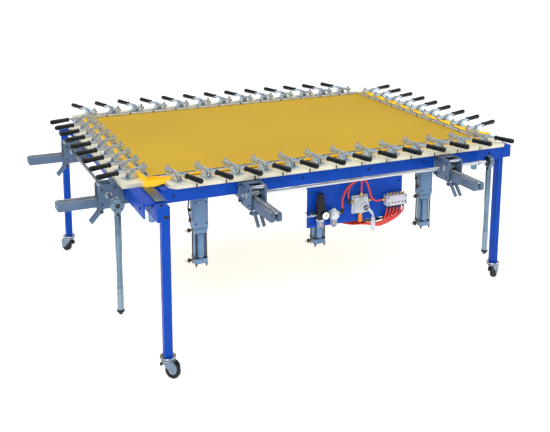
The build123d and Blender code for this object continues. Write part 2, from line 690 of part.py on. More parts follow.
# Swivel casters: fork with axle, and wheel
for name, spot, heading in (
    ("front_left", FRONT_LEFT_LEG, -50),
    ("front_right", FRONT_RIGHT_LEG, 30),
    ("rear_left", REAR_LEFT_LEG, 120),
    ("rear_right", REAR_RIGHT_LEG, 200),
):
    trail = (TRAIL * cos(radians(heading)), TRAIL * sin(radians(heading)))
    hub = (spot[0] + trail[0], spot[1] + trail[1])
    across = Plane(origin=(*hub, WHEEL_R), x_dir=(trail[0], trail[1], 0), z_dir=(trail[1], -trail[0], 0))
    with BuildPart() as fork:
        with BuildSketch(Plane.XY.offset(LEG_FOOT - 0.5)):
            with Locations(spot):
                Circle(24)
        extrude(amount=-10)
        with BuildSketch(across):
            with BuildLine():
                Polyline((-TRAIL - 20, 51), (-TRAIL + 20, 51), (10, 0), (0, -9), (-10, 0), (-TRAIL - 20, 51))
            make_face()
        extrude(amount=17, both=True)
        with BuildSketch(across):
            with Locations((-4, 0)):
                Rectangle(160, 2 * 46)
        extrude(amount=14, both=True, mode=Mode.SUBTRACT)
        with BuildSketch(across):
            Circle(4)
        extrude(amount=19, both=True)
    save(fork, f"{name}_fork")
    with BuildPart() as wheel:
        with BuildSketch(across):
            Circle(WHEEL_R)
            Circle(4 + RUNNING, mode=Mode.SUBTRACT)
        extrude(amount=WHEEL_WIDTH / 2, both=True)
        fillet(wheel.edges().filter_by(GeomType.CIRCLE).group_by(SortBy.RADIUS)[-1], 3)
    save(wheel, f"{name}_wheel")
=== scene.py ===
"""Looks of the screen-mesh stretching table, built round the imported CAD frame. Lengths are in millimetres
until a piece is finished, when they become metres."""
import json
import math
from itertools import product

import bmesh
import bpy
from mathutils import Matrix, Vector


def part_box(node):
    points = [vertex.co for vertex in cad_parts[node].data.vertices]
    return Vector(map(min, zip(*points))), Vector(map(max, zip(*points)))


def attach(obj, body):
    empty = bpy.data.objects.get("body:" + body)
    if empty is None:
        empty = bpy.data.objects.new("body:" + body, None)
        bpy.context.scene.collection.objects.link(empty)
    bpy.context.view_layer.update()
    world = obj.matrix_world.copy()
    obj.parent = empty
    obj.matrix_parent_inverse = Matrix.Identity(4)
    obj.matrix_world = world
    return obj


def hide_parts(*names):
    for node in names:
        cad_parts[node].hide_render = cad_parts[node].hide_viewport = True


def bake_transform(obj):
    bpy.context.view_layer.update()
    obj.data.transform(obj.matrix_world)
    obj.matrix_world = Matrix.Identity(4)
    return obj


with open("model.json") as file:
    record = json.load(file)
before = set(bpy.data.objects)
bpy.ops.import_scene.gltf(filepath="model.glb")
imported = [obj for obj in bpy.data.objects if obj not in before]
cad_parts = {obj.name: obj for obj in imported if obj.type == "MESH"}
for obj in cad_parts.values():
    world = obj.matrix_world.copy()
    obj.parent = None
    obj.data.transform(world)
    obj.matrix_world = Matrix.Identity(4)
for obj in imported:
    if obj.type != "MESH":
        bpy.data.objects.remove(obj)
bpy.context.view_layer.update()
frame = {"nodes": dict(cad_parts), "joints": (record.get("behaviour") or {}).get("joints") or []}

MM = 0.001
UP = Vector((0, 0, 1))
X = Vector((1, 0, 0))
Y = Vector((0, 1, 0))
SHARP = math.radians(35)
WELD_GAP = 0.02
THREADS = 2600.0
HOSE_STEPS, HOSE_SIDES = 12, 14


def node_box(node):
    """Lowest and highest corner of a CAD node, in millimetres."""
    low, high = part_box(node)
    return low / MM, high / MM


def middle_of(node):
    low, high = node_box(node)
    return (low + high) / 2


def joint_spot(name):
    """The point that a CAD hinge turns about, in millimetres."""
    joint = next(j for j in frame["joints"] if j["name"] == name)
    return Vector(joint["pos_m"]) / MM


def round_way(angle, first=X, second=Y):
    """The unit direction at an angle from first towards second."""
    return first * math.cos(angle) + second * math.sin(angle)


# ---- materials


class Finish:
    """A node tree being built for one material."""

    def __init__(self, name):
        self.material = bpy.data.materials.new(name)
        self.material.use_nodes = True
        self.tree = self.material.node_tree
        self.shader = self.tree.nodes["Principled BSDF"]
        self.place = self.add("ShaderNodeTexCoord").outputs["Object"]

    def add(self, kind, **values):
        node = self.tree.nodes.new(kind)
        for key, value in values.items():
            if hasattr(node, key):
                setattr(node, key, value)
            else:
                node.inputs[key.replace("_", " ")].default_value = value
        return node

    def feed(self, value, socket):
        """Links a socket into another, or sets a number or a colour on it."""
        if isinstance(value, bpy.types.NodeSocket):
            self.tree.links.new(value, socket)
        else:
            socket.default_value = (*value, 1) if isinstance(value, tuple) else value

    def work(self, operation, first, second=0.5):
        """A math node on two numbers or sockets."""
        node = self.add("ShaderNodeMath", operation=operation)
        self.feed(first, node.inputs[0])
        self.feed(second, node.inputs[1])
        return node.outputs[0]

    def noise(self, scale, detail):
        """Noise on the object coordinates, scaled by a number or by one number per axis."""
        mapping = self.add("ShaderNodeMapping", Scale=scale if isinstance(scale, tuple) else (scale,) * 3)
        self.feed(self.place, mapping.inputs["Vector"])
        node = self.add("ShaderNodeTexNoise", Scale=1.0, Detail=detail)
        self.feed(mapping.outputs["Vector"], node.inputs["Vector"])
        return node.outputs["Fac"]

    def ramp(self, source, stops):
        node = self.add("ShaderNodeValToRGB")
        points = node.color_ramp.elements
        while len(points) < len(stops):
            points.new(0.5)
        for point, (where, colour) in zip(points, stops):
            point.position = where
            point.color = (*colour, 1)
        self.feed(source, node.inputs["Fac"])
        return node.outputs["Color"]

    def clouds(self, scale, detail, colour, darker, lighter, lift=0.0):
        """A colour in uneven patches, between a darker and a lighter tone of it."""
        dark = tuple(c * (1 - darker) for c in colour)
        light = tuple(min(1, c * (1 + lighter) + lift) for c in colour)
        return self.ramp(self.noise(scale, detail), [(0.3, dark), (0.7, light)])

    def span(self, source, low, high, source_low=0.3, source_high=0.7):
        node = self.add("ShaderNodeMapRange", From_Min=source_low, From_Max=source_high)
        self.feed(low, node.inputs["To Min"])
        self.feed(high, node.inputs["To Max"])
        self.feed(source, node.inputs["Value"])
        return node.outputs["Result"]

    def mix(self, factor, first, second):
        node = self.add("ShaderNodeMix", data_type="RGBA")
        for value, socket in ((factor, "Factor"), (first, 6), (second, 7)):
            self.feed(value, node.inputs[socket])
        return node.outputs[2]

    def edges(self, radius):
        """Close to 1 on worn edges and 0 on flat faces: how far a rounded normal leaves the true one."""
        bevel = self.add("ShaderNodeBevel", Radius=radius, samples=4)
        true = self.add("ShaderNodeNewGeometry").outputs["Normal"]
        dot = self.add("ShaderNodeVectorMath", operation="DOT_PRODUCT")
        self.feed(bevel.outputs["Normal"], dot.inputs[0])
        self.feed(true, dot.inputs[1])
        return self.span(dot.outputs["Value"], 1.0, 0.0, 0.75, 0.97)

    def bump(self, height, strength, distance=0.001):
        node = self.add("ShaderNodeBump", Strength=strength, Distance=distance)
        self.feed(height, node.inputs["Height"])
        self.feed(node.outputs["Normal"], self.shader.inputs["Normal"])

    def set(self, **values):
        for key, value in values.items():
            self.feed(value, self.shader.inputs[key.replace("_", " ")])


def paint(name, colour, worn, gloss, coat, grain=900, grain_height=0.06, patch=0.06, shine=0.25):
    """Brushed or sprayed enamel: slight orange peel, uneven tone, and thin worn edges."""
    f = Finish(name)
    tone = f.clouds(7, 5.0, colour, patch * 2.2, patch * 2)
    dust = f.mix(f.span(f.noise(60, 6.0), 0.0, 0.10, 0.5, 0.8), tone, tuple(c * 0.6 + 0.06 for c in colour))
    scuff = f.span(f.noise(140, 4.0), 0.0, 0.65, 0.52, 0.75)
    f.set(
        Base_Color=f.mix(f.work("MULTIPLY", f.edges(0.0012), scuff), dust, worn),
        Roughness=f.span(f.noise(25, 4.0), gloss - 0.05, gloss + 0.12),
        Coat_Weight=coat,
        Coat_Roughness=0.12,
        Specular_IOR_Level=shine,
    )
    f.bump(f.noise(grain, 2.0), grain_height, 0.0004)
    return f.material


def metal(name, colour, roughness, streak, hollow_shade, contrast=0.12, bump=0.05, metallic=1.0):
    """Bare or plated metal: fine streaks along one way, cloudy tone, and painted shade in the hollows."""
    f = Finish(name)
    # Painted shade: an ambient-occlusion mask darkens the colour in hollows and between parts, where shade
    # falls.
    hollow = f.add("ShaderNodeAmbientOcclusion", samples=4, Distance=0.012)
    painted_shade = f.span(hollow.outputs["AO"], hollow_shade, 0.0, 0.35, 0.85)
    tone = f.clouds(30, 4.0, colour, contrast, contrast)
    f.set(
        Base_Color=f.mix(painted_shade, tone, tuple(c * 0.25 for c in colour)),
        Metallic=metallic,
        Roughness=f.span(f.noise(streak, 3.0), roughness * 0.75, roughness * 1.3),
    )
    f.bump(f.noise(streak, 3.0), bump, 0.0003)
    return f.material


def moulded(name, colour, roughness, grain=1500, height=0.08, coat=0.0, shine=0.3):
    """Moulded plastic or rubber: matt skin with a fine grain and a faint uneven sheen."""
    f = Finish(name)
    f.set(
        Base_Color=f.clouds(90, 4.0, colour, 0.15, 0.15, 0.002),
        Roughness=f.span(f.noise(160, 3.0), roughness * 0.8, roughness * 1.25),
        Coat_Weight=coat,
        Specular_IOR_Level=shine,
    )
    f.bump(f.noise(grain, 2.0), height, 0.0003)
    return f.material


def woven_mesh(name, painted_glow_gain=1.0):
    """Yellow monofilament cloth: crossed threads, a slow change of tone and a soft sheen. With a glow gain
    above 1 it also glows, painted light that brightens it.
    """
    f = Finish(name)
    split = f.add("ShaderNodeSeparateXYZ")
    f.feed(f.place, split.inputs[0])
    threads = [f.work("ABSOLUTE", f.work("SINE", f.work("MULTIPLY", split.outputs[axis], THREADS)))
               for axis in ("X", "Y")]
    weave = f.work("MAXIMUM", *threads)
    tones = [(0.25, (0.56, 0.34, 0.012)), (0.5, (0.62, 0.385, 0.016)), (0.8, (0.68, 0.43, 0.022))]
    cloud = f.ramp(f.noise(1.3, 6.0), tones)
    speck = f.ramp(f.noise(420, 3.0), [(0.25, (0.46, 0.27, 0.012)), (0.75, (0.80, 0.54, 0.05))])
    gap = f.span(weave, 0.35, 0.0, 0.0, 0.45)
    f.set(
        Base_Color=f.mix(gap, f.mix(0.28, cloud, speck), (0.30, 0.17, 0.02)),
        Roughness=0.7,
        Specular_IOR_Level=0.25,
        # Painted light: above a gain of 1 the cloth glows orange-yellow, though it is no lamp.
        Emission_Color=(0.80, 0.47, 0.02),
        Emission_Strength=painted_glow_gain - 1.0,
    )
    f.bump(weave, 0.22, 0.0003)
    return f.material


def clear_bowl():
    f = Finish("bowl_polycarbonate")
    f.set(
        Base_Color=f.ramp(f.noise(60, 3.0), [(0.3, (0.55, 0.68, 0.85)), (0.7, (0.70, 0.80, 0.93))]),
        Roughness=f.span(f.noise(200, 3.0), 0.05, 0.16),
        Transmission_Weight=0.75,
        IOR=1.45,
    )
    f.bump(f.noise(300, 2.0), 0.03)
    return f.material


def dial_face():
    f = Finish("gauge_dial")
    f.set(
        Base_Color=f.clouds(200, 2.0, (0.86, 0.86, 0.84), 0.01, 0.01),
        Roughness=f.span(f.noise(200, 2.0), 0.2, 0.3),
        Coat_Weight=0.6,
    )
    return f.material


M = {
    "blue": paint("blue_enamel", (0.002, 0.062, 0.44), (0.03, 0.10, 0.40), gloss=0.36, coat=0.02,
                  shine=0.12),
    "cream": paint("cream_enamel", (0.80, 0.77, 0.60), (0.45, 0.40, 0.30), gloss=0.40, coat=0.10),
    "hammer": paint("blue_grey_hammered", (0.092, 0.148, 0.24), (0.25, 0.32, 0.42), gloss=0.36, coat=0.08,
                    grain=260, grain_height=0.25, patch=0.12),
    "grey": paint("bracket_grey", (0.15, 0.26, 0.43), (0.40, 0.46, 0.52), gloss=0.40, coat=0.08, grain=380,
                  grain_height=0.15),
    # Metals below: the darkening in their hollows is painted shade.
    "zinc": metal("zinc_plate", (0.54, 0.64, 0.74), 0.30, streak=(60, 60, 60), contrast=0.14, hollow_shade=0.4,
                  metallic=0.62),
    "jaw": metal("jaw_aluminium", (0.66, 0.69, 0.70), 0.42, streak=(12, 700, 700), hollow_shade=0.3, metallic=0.5),
    "strip": metal("strip_steel", (0.10, 0.145, 0.17), 0.34, streak=(12, 500, 500), hollow_shade=0.3),
    "fork": metal("fork_zinc", (0.17, 0.24, 0.31), 0.30, streak=(60, 60, 60), hollow_shade=0.5, metallic=0.8),
    "sleeve": metal("sleeve_satin", (0.27, 0.35, 0.44), 0.34, streak=(500, 500, 20), hollow_shade=0.4),
    "chrome": metal("hard_chrome", (0.56, 0.60, 0.66), 0.20, streak=(6, 60, 60), contrast=0.04, hollow_shade=0.3,
                    bump=0.01),
    "steel": metal("ground_steel", (0.48, 0.52, 0.56), 0.30, streak=(20, 700, 700), hollow_shade=0.45),
    "wrench": metal("wrench_satin", (0.175, 0.255, 0.34), 0.42, streak=(500, 500, 20), hollow_shade=0.5),
    "dark": metal("blackened_steel", (0.05, 0.055, 0.065), 0.40, streak=(90, 90, 90), hollow_shade=0.3),
    "alloy": metal("cylinder_alloy", (0.16, 0.27, 0.42), 0.46, streak=(500, 500, 16), hollow_shade=0.35),
    "brass": metal("brass", (0.72, 0.46, 0.14), 0.26, streak=(80, 80, 80), hollow_shade=0.5),
    "vinyl": moulded("black_vinyl", (0.003, 0.006, 0.006), 0.34, grain=900, height=0.05, coat=0.06,
                     shine=0.22),
    "black": moulded("black_plastic", (0.014, 0.014, 0.016), 0.42),
    "tyre": moulded("caster_rubber", (0.016, 0.018, 0.018), 0.62, grain=1200, height=0.2),
    "red": moulded("red_tube", (0.66, 0.028, 0.012), 0.22, grain=500, height=0.02, coat=0.5),
    "orange": moulded("orange_silencer", (0.90, 0.26, 0.012), 0.6, grain=1400, height=0.5),
    "valve": paint("valve_diecast", (0.60, 0.64, 0.68), (0.6, 0.62, 0.63), gloss=0.40, coat=0.15, grain=700,
                   grain_height=0.18),
    "manifold": paint("manifold_anodised", (0.58, 0.58, 0.66), (0.7, 0.7, 0.72), gloss=0.34, coat=0.2),
    "mesh": woven_mesh("mesh_weave"),
    # The tail cloth glows: painted light that brightens the strips behind the jaws.
    "tail": woven_mesh("mesh_tail_painted_glow", 1.6),
    "bowl": clear_bowl(),
    "dial": dial_face(),
}

# ---- mesh building


def basis(direction):
    """A rotation whose Z is direction, with X level where it can be."""
    z = Vector(direction).normalized()
    side = UP.cross(z)
    if side.length < 1e-4:
        side = X
    x = (side - z * side.dot(z)).normalized()
    return Matrix((x, z.cross(x), z)).transposed().to_4x4()


class Piece:
    """Mesh parts gathered in millimetres, each with its material, for one object."""

    def __init__(self):
        self.mesh = bmesh.new()
        self.finished = self.mesh.faces.layers.int.new("finished")
        self.materials = []

    def finish_faces(self, key):
        """Gives the faces that are new since the last call their material."""
        if key not in self.materials:
            self.materials.append(key)
        for face in self.mesh.faces:
            if not face[self.finished]:
                face[self.finished] = 1
                face.material_index = self.materials.index(key)
                face.smooth = True

    def box(self, centre, size, key, rounding=0.0, turn=Matrix()):
        matrix = Matrix.Translation(centre) @ turn @ Matrix.Diagonal((*size, 1))
        made = bmesh.ops.create_cube(self.mesh, size=1, matrix=matrix)
        if rounding:
            edges = list({e for v in made["verts"] for e in v.link_edges})
            bmesh.ops.bevel(self.mesh, geom=edges, offset=rounding, segments=2, affect="EDGES", profile=0.5)
        self.finish_faces(key)

    def rod(self, start, span, radius, key, sides=24):
        """A bar from start, as long and in the direction of the vector span."""
        matrix = Matrix.Translation(Vector(start) + span / 2) @ basis(span)
        bmesh.ops.create_cone(self.mesh, cap_ends=True, segments=sides, radius1=radius, radius2=radius,
                              depth=span.length, matrix=matrix)
        self.finish_faces(key)

    def pin(self, middle, half, radius, key, sides=24):
        """A bar that reaches from the middle by the vector half and its opposite."""
        self.rod(Vector(middle) - half, half * 2, radius, key, sides)

    def lathe(self, start, direction, profile, key, sides=32):
        """Turns a profile of (distance, radius) points about the line from start along direction."""
        place = Matrix.Translation(start) @ basis(direction)
        rings = []
        for along, radius in profile:
            count = 1 if radius < 1e-6 else sides
            spots = [round_way(2 * math.pi * step / sides) * radius + UP * along for step in range(count)]
            rings.append([self.mesh.verts.new(place @ spot) for spot in spots])
        for low, high in zip(rings, rings[1:]):
            for step in range(sides):
                after = (step + 1) % sides
                places = ((low, step), (low, after), (high, after), (high, step))
                unique = list(dict.fromkeys(ring[at % len(ring)] for ring, at in places))
                if len(unique) > 2:
                    self.mesh.faces.new(unique)
        self.finish_faces(key)

    def tube(self, rings):
        """Joins closed rings of vertices, with a cap at each end."""
        for low, high in zip(rings, rings[1:]):
            for step in range(len(low)):
                self.mesh.faces.new((low[step - 1], low[step], high[step], high[step - 1]))
        self.mesh.faces.new(list(reversed(rings[0])))
        self.mesh.faces.new(rings[-1])

    def slab(self, outline, origin, across, up, thickness, key):
        """Extrudes an outline drawn in the across and up directions, half to each side of origin."""
        half = across.cross(up).normalized() * thickness / 2
        self.tube([[self.mesh.verts.new(Vector(origin) + across * a + up * b + depth) for a, b in outline]
                   for depth in (-half, half)])
        self.finish_faces(key)

    def hose(self, points, radius, key):
        """A tube along a smooth curve through the points."""
        path = smooth_path([Vector(p) for p in points], HOSE_STEPS)
        angles = [2 * math.pi * step / HOSE_SIDES for step in range(HOSE_SIDES)]
        side = basis(path[1] - path[0]).to_3x3().col[0]
        rings = []
        for index, spot in enumerate(path):
            ahead = (path[min(index + 1, len(path) - 1)] - path[max(index - 1, 0)]).normalized()
            side = (side - ahead * side.dot(ahead)).normalized()
            ring = [round_way(angle, side, ahead.cross(side)) * radius for angle in angles]
            rings.append([self.mesh.verts.new(spot + reach) for reach in ring])
        self.tube(rings)
        self.finish_faces(key)

    def hex_bolt(self, at, direction, size, key="dark"):
        """A hexagon head on a washer, standing on the point at."""
        washer = direction * size * 0.16
        self.rod(at, washer, size * 1.12, key, 20)
        self.rod(Vector(at) + washer, direction * size * 0.65, size * 0.92, key, 6)

    def cap_screw(self, at, direction, size, key="dark"):
        """A socket-head screw with its hexagon socket."""
        profile = [(0, 1), (0.8, 1), (1, 0.85), (1, 0.5), (0.45, 0.45), (0.45, 0)]
        self.lathe(at, direction, [(along * size, radius * size) for along, radius in profile], key, 18)

    def cap_screws(self, spots, direction, size):
        for spot in spots:
            self.cap_screw(spot, direction, size)

    def take(self, other):
        """Adds the mesh of another piece that is drawn with the same materials."""
        part = bpy.data.meshes.new("part")
        other.mesh.to_mesh(part)
        other.mesh.free()
        self.mesh.from_mesh(part)
        self.materials = other.materials
        bpy.data.meshes.remove(part)

    def copies(self, places):
        """Repeats the whole mesh at each place, a matrix in millimetres."""
        template = bpy.data.meshes.new("template")
        self.mesh.to_mesh(template)
        self.mesh.clear()
        for place in places:
            moved = template.copy()
            moved.transform(place)
            self.mesh.from_mesh(moved)
            bpy.data.meshes.remove(moved)
        bpy.data.meshes.remove(template)
        self.finished = self.mesh.faces.layers.int["finished"]
        return self

    def build(self, name, body, node=None, slot=None, bevel=0.4, segments=2):
        """Makes the object, rides it on its body and hides the CAD node it stands for."""
        bmesh.ops.recalc_face_normals(self.mesh, faces=self.mesh.faces)
        self.mesh.faces.layers.int.remove(self.mesh.faces.layers.int["finished"])
        mesh = bpy.data.meshes.new(name)
        self.mesh.to_mesh(mesh)
        self.mesh.free()
        mesh.transform(Matrix.Scale(MM, 4))
        mesh.set_sharp_from_angle(angle=SHARP)
        for key in self.materials:
            mesh.materials.append(M[key])
        made = add_object(name, mesh)
        if bevel:
            round_edges(made, bevel, segments)
        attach(made, body)
        if node:
            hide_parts(node)


def add_object(name, data):
    made = bpy.data.objects.new(name, data)
    bpy.context.scene.collection.objects.link(made)
    return made


def round_edges(target, width, segments=2):
    bevel = target.modifiers.new("rounded_edges", "BEVEL")
    bevel.width = width * MM
    bevel.segments = segments
    bevel.limit_method = "ANGLE"
    bevel.angle_limit = SHARP
    bevel.harden_normals = True
    bevel.use_clamp_overlap = True


def smooth_path(points, steps):
    """Points of a Catmull-Rom curve through the given ones."""
    padded = [points[0] * 2 - points[1], *points, points[-1] * 2 - points[-2]]
    path = []
    for a, b, c, d in zip(padded, padded[1:], padded[2:], padded[3:]):
        for step in range(steps):
            t = step / steps
            path.append(0.5 * ((2 * b) + (c - a) * t + (2 * a - 5 * b + 4 * c - d) * t * t
                               + (3 * b - a - 3 * c + d) * t ** 3))
    path.append(points[-1])
    return path


def finish_cad(node, key, bevel):
    """Gives a CAD node its material, with welded and rounded edges."""
    target = frame["nodes"][node]
    target.data.materials.clear()
    target.data.materials.append(M[key])
    target.modifiers.new("weld", "WELD").merge_threshold = WELD_GAP * MM
    round_edges(target, bevel)


# ---- clamps

SKEW = math.radians(19.1)
PITCH = 150.0
SPINDLE_S = -75.0
ARM_PIVOT = (-14.8, 872.0)
LEVER_PIVOT = (6.4, 886.0)
LINK_PIVOT = (8.5, 857.0)
LINK_TOP = (7.4, 874.0)
SPINDLE_NUTS = (868.6, 895.2)
DECK = node_box("front_plates")[1].z
JAW_Z, SPINDLE_TOP = (corner.z for corner in node_box("front_jaws"))
JAW_LENGTH = 140.0
GRIP_START, GRIP_END, GRIP_Z = 74.0, 192.0, 887.0
OUTWARD = round_way(SKEW, Y, -X)
ASIDE = round_way(SKEW)
ROW_TURN = {"front": 180, "rear": 0, "left": 90, "right": -90}
ROW_BODY = {"front": "front_beam", "left": "left_beam", "rear": "root", "right": "root"}


def clamp_point(s, z, t=0.0):
    """A point in a clamp's own frame: s outwards along the lever, t aside, z up."""
    return OUTWARD * s + ASIDE * t + UP * z


def row_places(row):
    """One matrix per clamp, worked out from the CAD jaws of the row."""
    low, high = node_box(f"{row}_jaws")
    turn = Matrix.Rotation(math.radians(ROW_TURN[row]), 4, "Z")
    tip = turn @ clamp_point(SPINDLE_S, 0)
    axis = 0 if row in ("front", "rear") else 1
    count = round((high[axis] - low[axis] - JAW_LENGTH) / PITCH) + 1
    places = []
    for index in range(count):
        jaw = (low + high) / 2
        jaw[axis] = low[axis] + JAW_LENGTH / 2 + PITCH * index
        jaw.z = 0
        places.append(Matrix.Translation(jaw - tip) @ turn)
    return places


def side_plates(piece, outline, offset, thickness):
    """The same upright zinc plate on both sides of a clamp's middle plane."""
    for t in (-offset, offset):
        piece.slab(outline, ASIDE * t, OUTWARD, UP, thickness, "zinc")


def clamp_base():
    piece = Piece()
    half_foot = [(-34, -16), (-28, -25), (-14, -22), (18, -22), (32, -25), (40, -16)]
    foot = half_foot + [(s, -t) for s, t in reversed(half_foot)]
    piece.slab(foot, UP * (DECK + 2), OUTWARD, ASIDE, 4, "zinc")
    cheek = [(-22, 848), (25, 848), (18, 854), (13.8, 866), (8.5, 875), (-4, 882), (-16, 884), (-23, 879),
             (-22, 866)]
    side_plates(piece, cheek, 17.5, 2.8)
    for s, t in product((-28, 33), (-18.5, 18.5)):
        piece.hex_bolt(clamp_point(s, DECK + 3.8, t), UP, 4.2, "steel")
    for pivot in (ARM_PIVOT, LINK_PIVOT):
        centre = clamp_point(*pivot)
        piece.pin(centre, ASIDE * 20.5, 2.5, "steel", 16)
        for side in (ASIDE, -ASIDE):
            piece.lathe(centre + side * 18.8, side, [(0, 5), (1.2, 4.8), (2.4, 3.2), (2.8, 0)], "zinc", 18)
    return piece


def clamp_arm():
    piece = Piece()
    blade = [(-60, 881), (-60, 893), (-20, 893.6), (8, 891), (11.4, 888), (11.8, 885), (8, 881), (-6, 877),
             (-9, 868.5), (-12, 866.8), (-18, 866.8), (-20.5, 869), (-24, 879)]
    piece.slab(blade, Vector(), OUTWARD, UP, 6, "zinc")
    side = [(-93, 879), (-95, 882), (-95, 891), (-92, 894), (-42, 894.5), (-34, 892), (-34, 883),
            (-38, 879.5)]
    side_plates(piece, side, 6.6, 2.8)
    piece.slab([(-95, 883), (-95, 890), (-90, 890), (-90, 883)], Vector(), OUTWARD, UP, 11, "zinc")
    for z, tall in ((894.2, 1.8), (876.5, 2.2)):
        washer = [(-12, -8.5), (12, -8.5), (12, 8.5), (-12, 8.5)]
        piece.slab(washer, clamp_point(SPINDLE_S, z), OUTWARD, ASIDE, tall, "zinc")
    for pivot, half in ((LEVER_PIVOT, 6.0), (ARM_PIVOT, 9.0)):
        piece.pin(clamp_point(*pivot), ASIDE * half, 4.6, "zinc", 18)
    return piece


def clamp_jaw():
    piece = Piece()
    tip = clamp_point(SPINDLE_S, 0)
    half, low, high = 11.0, JAW_Z, JAW_Z + 12
    profile = [(-half, low), (half, low), (half, high - 3), (half - 4, high), (-half + 3, high),
               (-half, high - 3)]
    piece.slab(profile, tip, Y, UP, JAW_LENGTH, "jaw")
    piece.box(tip + UP * (low - 0.9), (JAW_LENGTH - 2, 18, 1.8), "black")
    piece.box(tip + UP * (high + 0.2) + Y * 0.5, (JAW_LENGTH - 1, 14.5, 0.8), "strip")
    piece.box(tip + X * 73 + UP * (low + 5), (5.4, 20, 13), "black", 0.4)
    piece.cap_screws([tip + X * along + UP * (high - 0.5) for along in (-52, 52)], UP, 3.4)
    piece.rod(tip + UP * high, UP * (SPINDLE_TOP - 2 - high), 4.8, "steel", 20)
    for z in range(int(high) + 8, int(SPINDLE_TOP) - 4, 2):
        piece.lathe(tip + UP * z, UP, [(0, 4.8), (0.9, 5.4), (1.8, 4.8)], "steel", 20)
    piece.lathe(tip + UP * high, UP, [(0, 11), (2, 11), (5, 8), (6.5, 6), (6.5, 4.8)], "zinc", 24)
    for z in SPINDLE_NUTS:
        piece.rod(tip + UP * z, UP * 6.6, 8.6, "zinc", 6)
    tip_nut = [(0, 5), (0, 7.2), (4.4, 7.2), (6, 5.5), (6, 0)]
    piece.lathe(tip + UP * (SPINDLE_TOP - 6), UP, tip_nut, "steel", 20)
    return piece


def clamp_lever():
    piece = Piece()
    side = [(-0.8, 890), (1, 892.8), (30, 892.8), (56, 892), (GRIP_START, 891), (GRIP_START, 883),
            (56, 881.4), (30, 880.7), (17.2, 880), (12, 868.4), (9, 868.2), (3.4, 868.4), (-0.8, 881)]
    side_plates(piece, side, 9.8, 2.6)
    bridge = [(41, 883.5), (41, 890.5), (GRIP_START, 890.5), (GRIP_START, 883.5)]
    piece.slab(bridge, Vector(), OUTWARD, UP, 19, "zinc")
    for side in (ASIDE, -ASIDE):
        rivet = [(0, 4.4), (0.6, 4.2), (1.2, 2.8), (1.4, 0)]
        piece.lathe(clamp_point(*LEVER_PIVOT) + side * 11, side, rivet, "steel", 16)
    piece.rod(clamp_point(GRIP_START, GRIP_Z), OUTWARD * 60, 4, "zinc", 16)
    return piece


def clamp_grip():
    """A vinyl grip with a collar, swelling a little towards its rounded end."""
    piece = Piece()
    length = GRIP_END - GRIP_START
    profile = [(0, 8), (0, 13.4), (1.2, 14.2), (4, 14.2), (5.4, 13.4), (7, 12), (14, 11.8)]
    profile += [(14 + (length - 34) * k / 8, 11.8 + 2.0 * (k / 8) ** 0.8) for k in range(1, 9)]
    for degrees in (20, 40, 58, 74, 84):
        angle = math.radians(degrees)
        profile.append((length - 13 + 13 * math.sin(angle), 13.8 * math.cos(angle) ** 0.8))
    piece.lathe(clamp_point(GRIP_START, GRIP_Z), OUTWARD, [*profile, (length, 0)], "vinyl", 28)
    return piece


def clamp_link():
    piece = Piece()
    low, high = clamp_point(*LINK_PIVOT), clamp_point(*LINK_TOP)
    for spot in (low, high):
        piece.pin(spot, ASIDE * 3.5, 5, "zinc", 18)
    piece.box((low + high) / 2, (6, 6.6, 14), "zinc", turn=Matrix.Rotation(SKEW, 4, "Z"))
    return piece


def build_clamps():
    for row in ROW_TURN:
        for draw, part, body, node, slot, bevel, segments in (
            (clamp_arm, "arm", "arms", "clamp_arms", "zinc_plate", 0.5, 2),
            (clamp_jaw, "jaw", "arms", "jaws", "jaw_steel", 0.4, 1),
            (clamp_lever, "lever", "levers", "levers", "zinc_plate", 0.5, 2),
            (clamp_grip, "grip", "levers", "grips", "grip_vinyl", 0, 2),
            (clamp_link, "link", "links", "links", "zinc_plate", 0.4, 1),
        ):
            piece = draw().copies(row_places(row))
            piece.build(f"{row}_{part}_set", f"{row}_{body}", f"{row}_{node}", slot, bevel, segments)
    for group, rows in (("front", ["front"]), ("left", ["left"]), ("fixed", ["rear", "right"])):
        places = [place for row in rows for place in row_places(row)]
        clamp_base().copies(places).build(f"{group}_base_set", ROW_BODY[rows[0]], f"{group}_clamp_bases",
                                          "zinc_plate", 0.5)


def build_plate_gap_shade():
    """Black blocks standing in the gaps between the deck plates of each row: painted shade that makes each
    gap read dark.
    """
    plates = node_box("front_plates")[0]
    reach = row_places("front")[0].translation.y - plates.y
    for row, body in ROW_BODY.items():
        piece = Piece()
        middle = (PITCH / 2, reach - 4, (plates.z + DECK) / 2 - 3)
        # Painted shade: a black block in each plate gap, reaching a little down onto the beam.
        piece.box(middle, (6.4, 11, DECK - plates.z + 3), "black", 0.6)
        places = row_places(row)
        ahead = places[0].to_3x3() @ X
        places.sort(key=lambda place: place.translation.dot(ahead))
        piece.copies(places[:-1]).build(f"{row}_plate_gap_shade", body, bevel=0)


# ---- racks, gear boxes, shafts and wrenches

TABLE = Matrix.Translation(middle_of("mesh_sheet").to_2d().to_3d())
QUARTER = Matrix.Rotation(math.radians(90), 4, "Z")
HALF = QUARTER @ QUARTER
RACK_LOW, RACK_TOP, TOOTH_PITCH = 710.0, 754.0, 4.7
SHAFT_Z = joint_spot("front_shaft_turn").z
BOX_LOW, BOX_HIGH, BOX_HALF, BOX_DEEP = 704.0, 822.0, 45.0, 118.0
PAWL_PIVOT = Vector((0, 104, 686))
PINION_TEETH = 16
WRENCH_NECK, SLEEVE_LENGTH = 47, 135


def box_spots(side):
    """Middle of each gear box of a side on its beam, with +Y turned outwards."""
    low, high = node_box(f"{side}_gear_boxes")
    if side == "front":
        return [Matrix.Translation((x, high.y, 0)) @ HALF for x in (low.x + BOX_HALF, high.x - BOX_HALF)]
    return [Matrix.Translation((high.x, y, 0)) @ QUARTER for y in (low.y + BOX_HALF, high.y - BOX_HALF)]


def rack_ends(side):
    """The outer ends of a side's racks, as far out as the CAD's."""
    axis = 1 if side == "front" else 0
    ends = box_spots(side)
    for end in ends:
        end.translation[axis] = node_box("racks")[0][axis]
    return ends


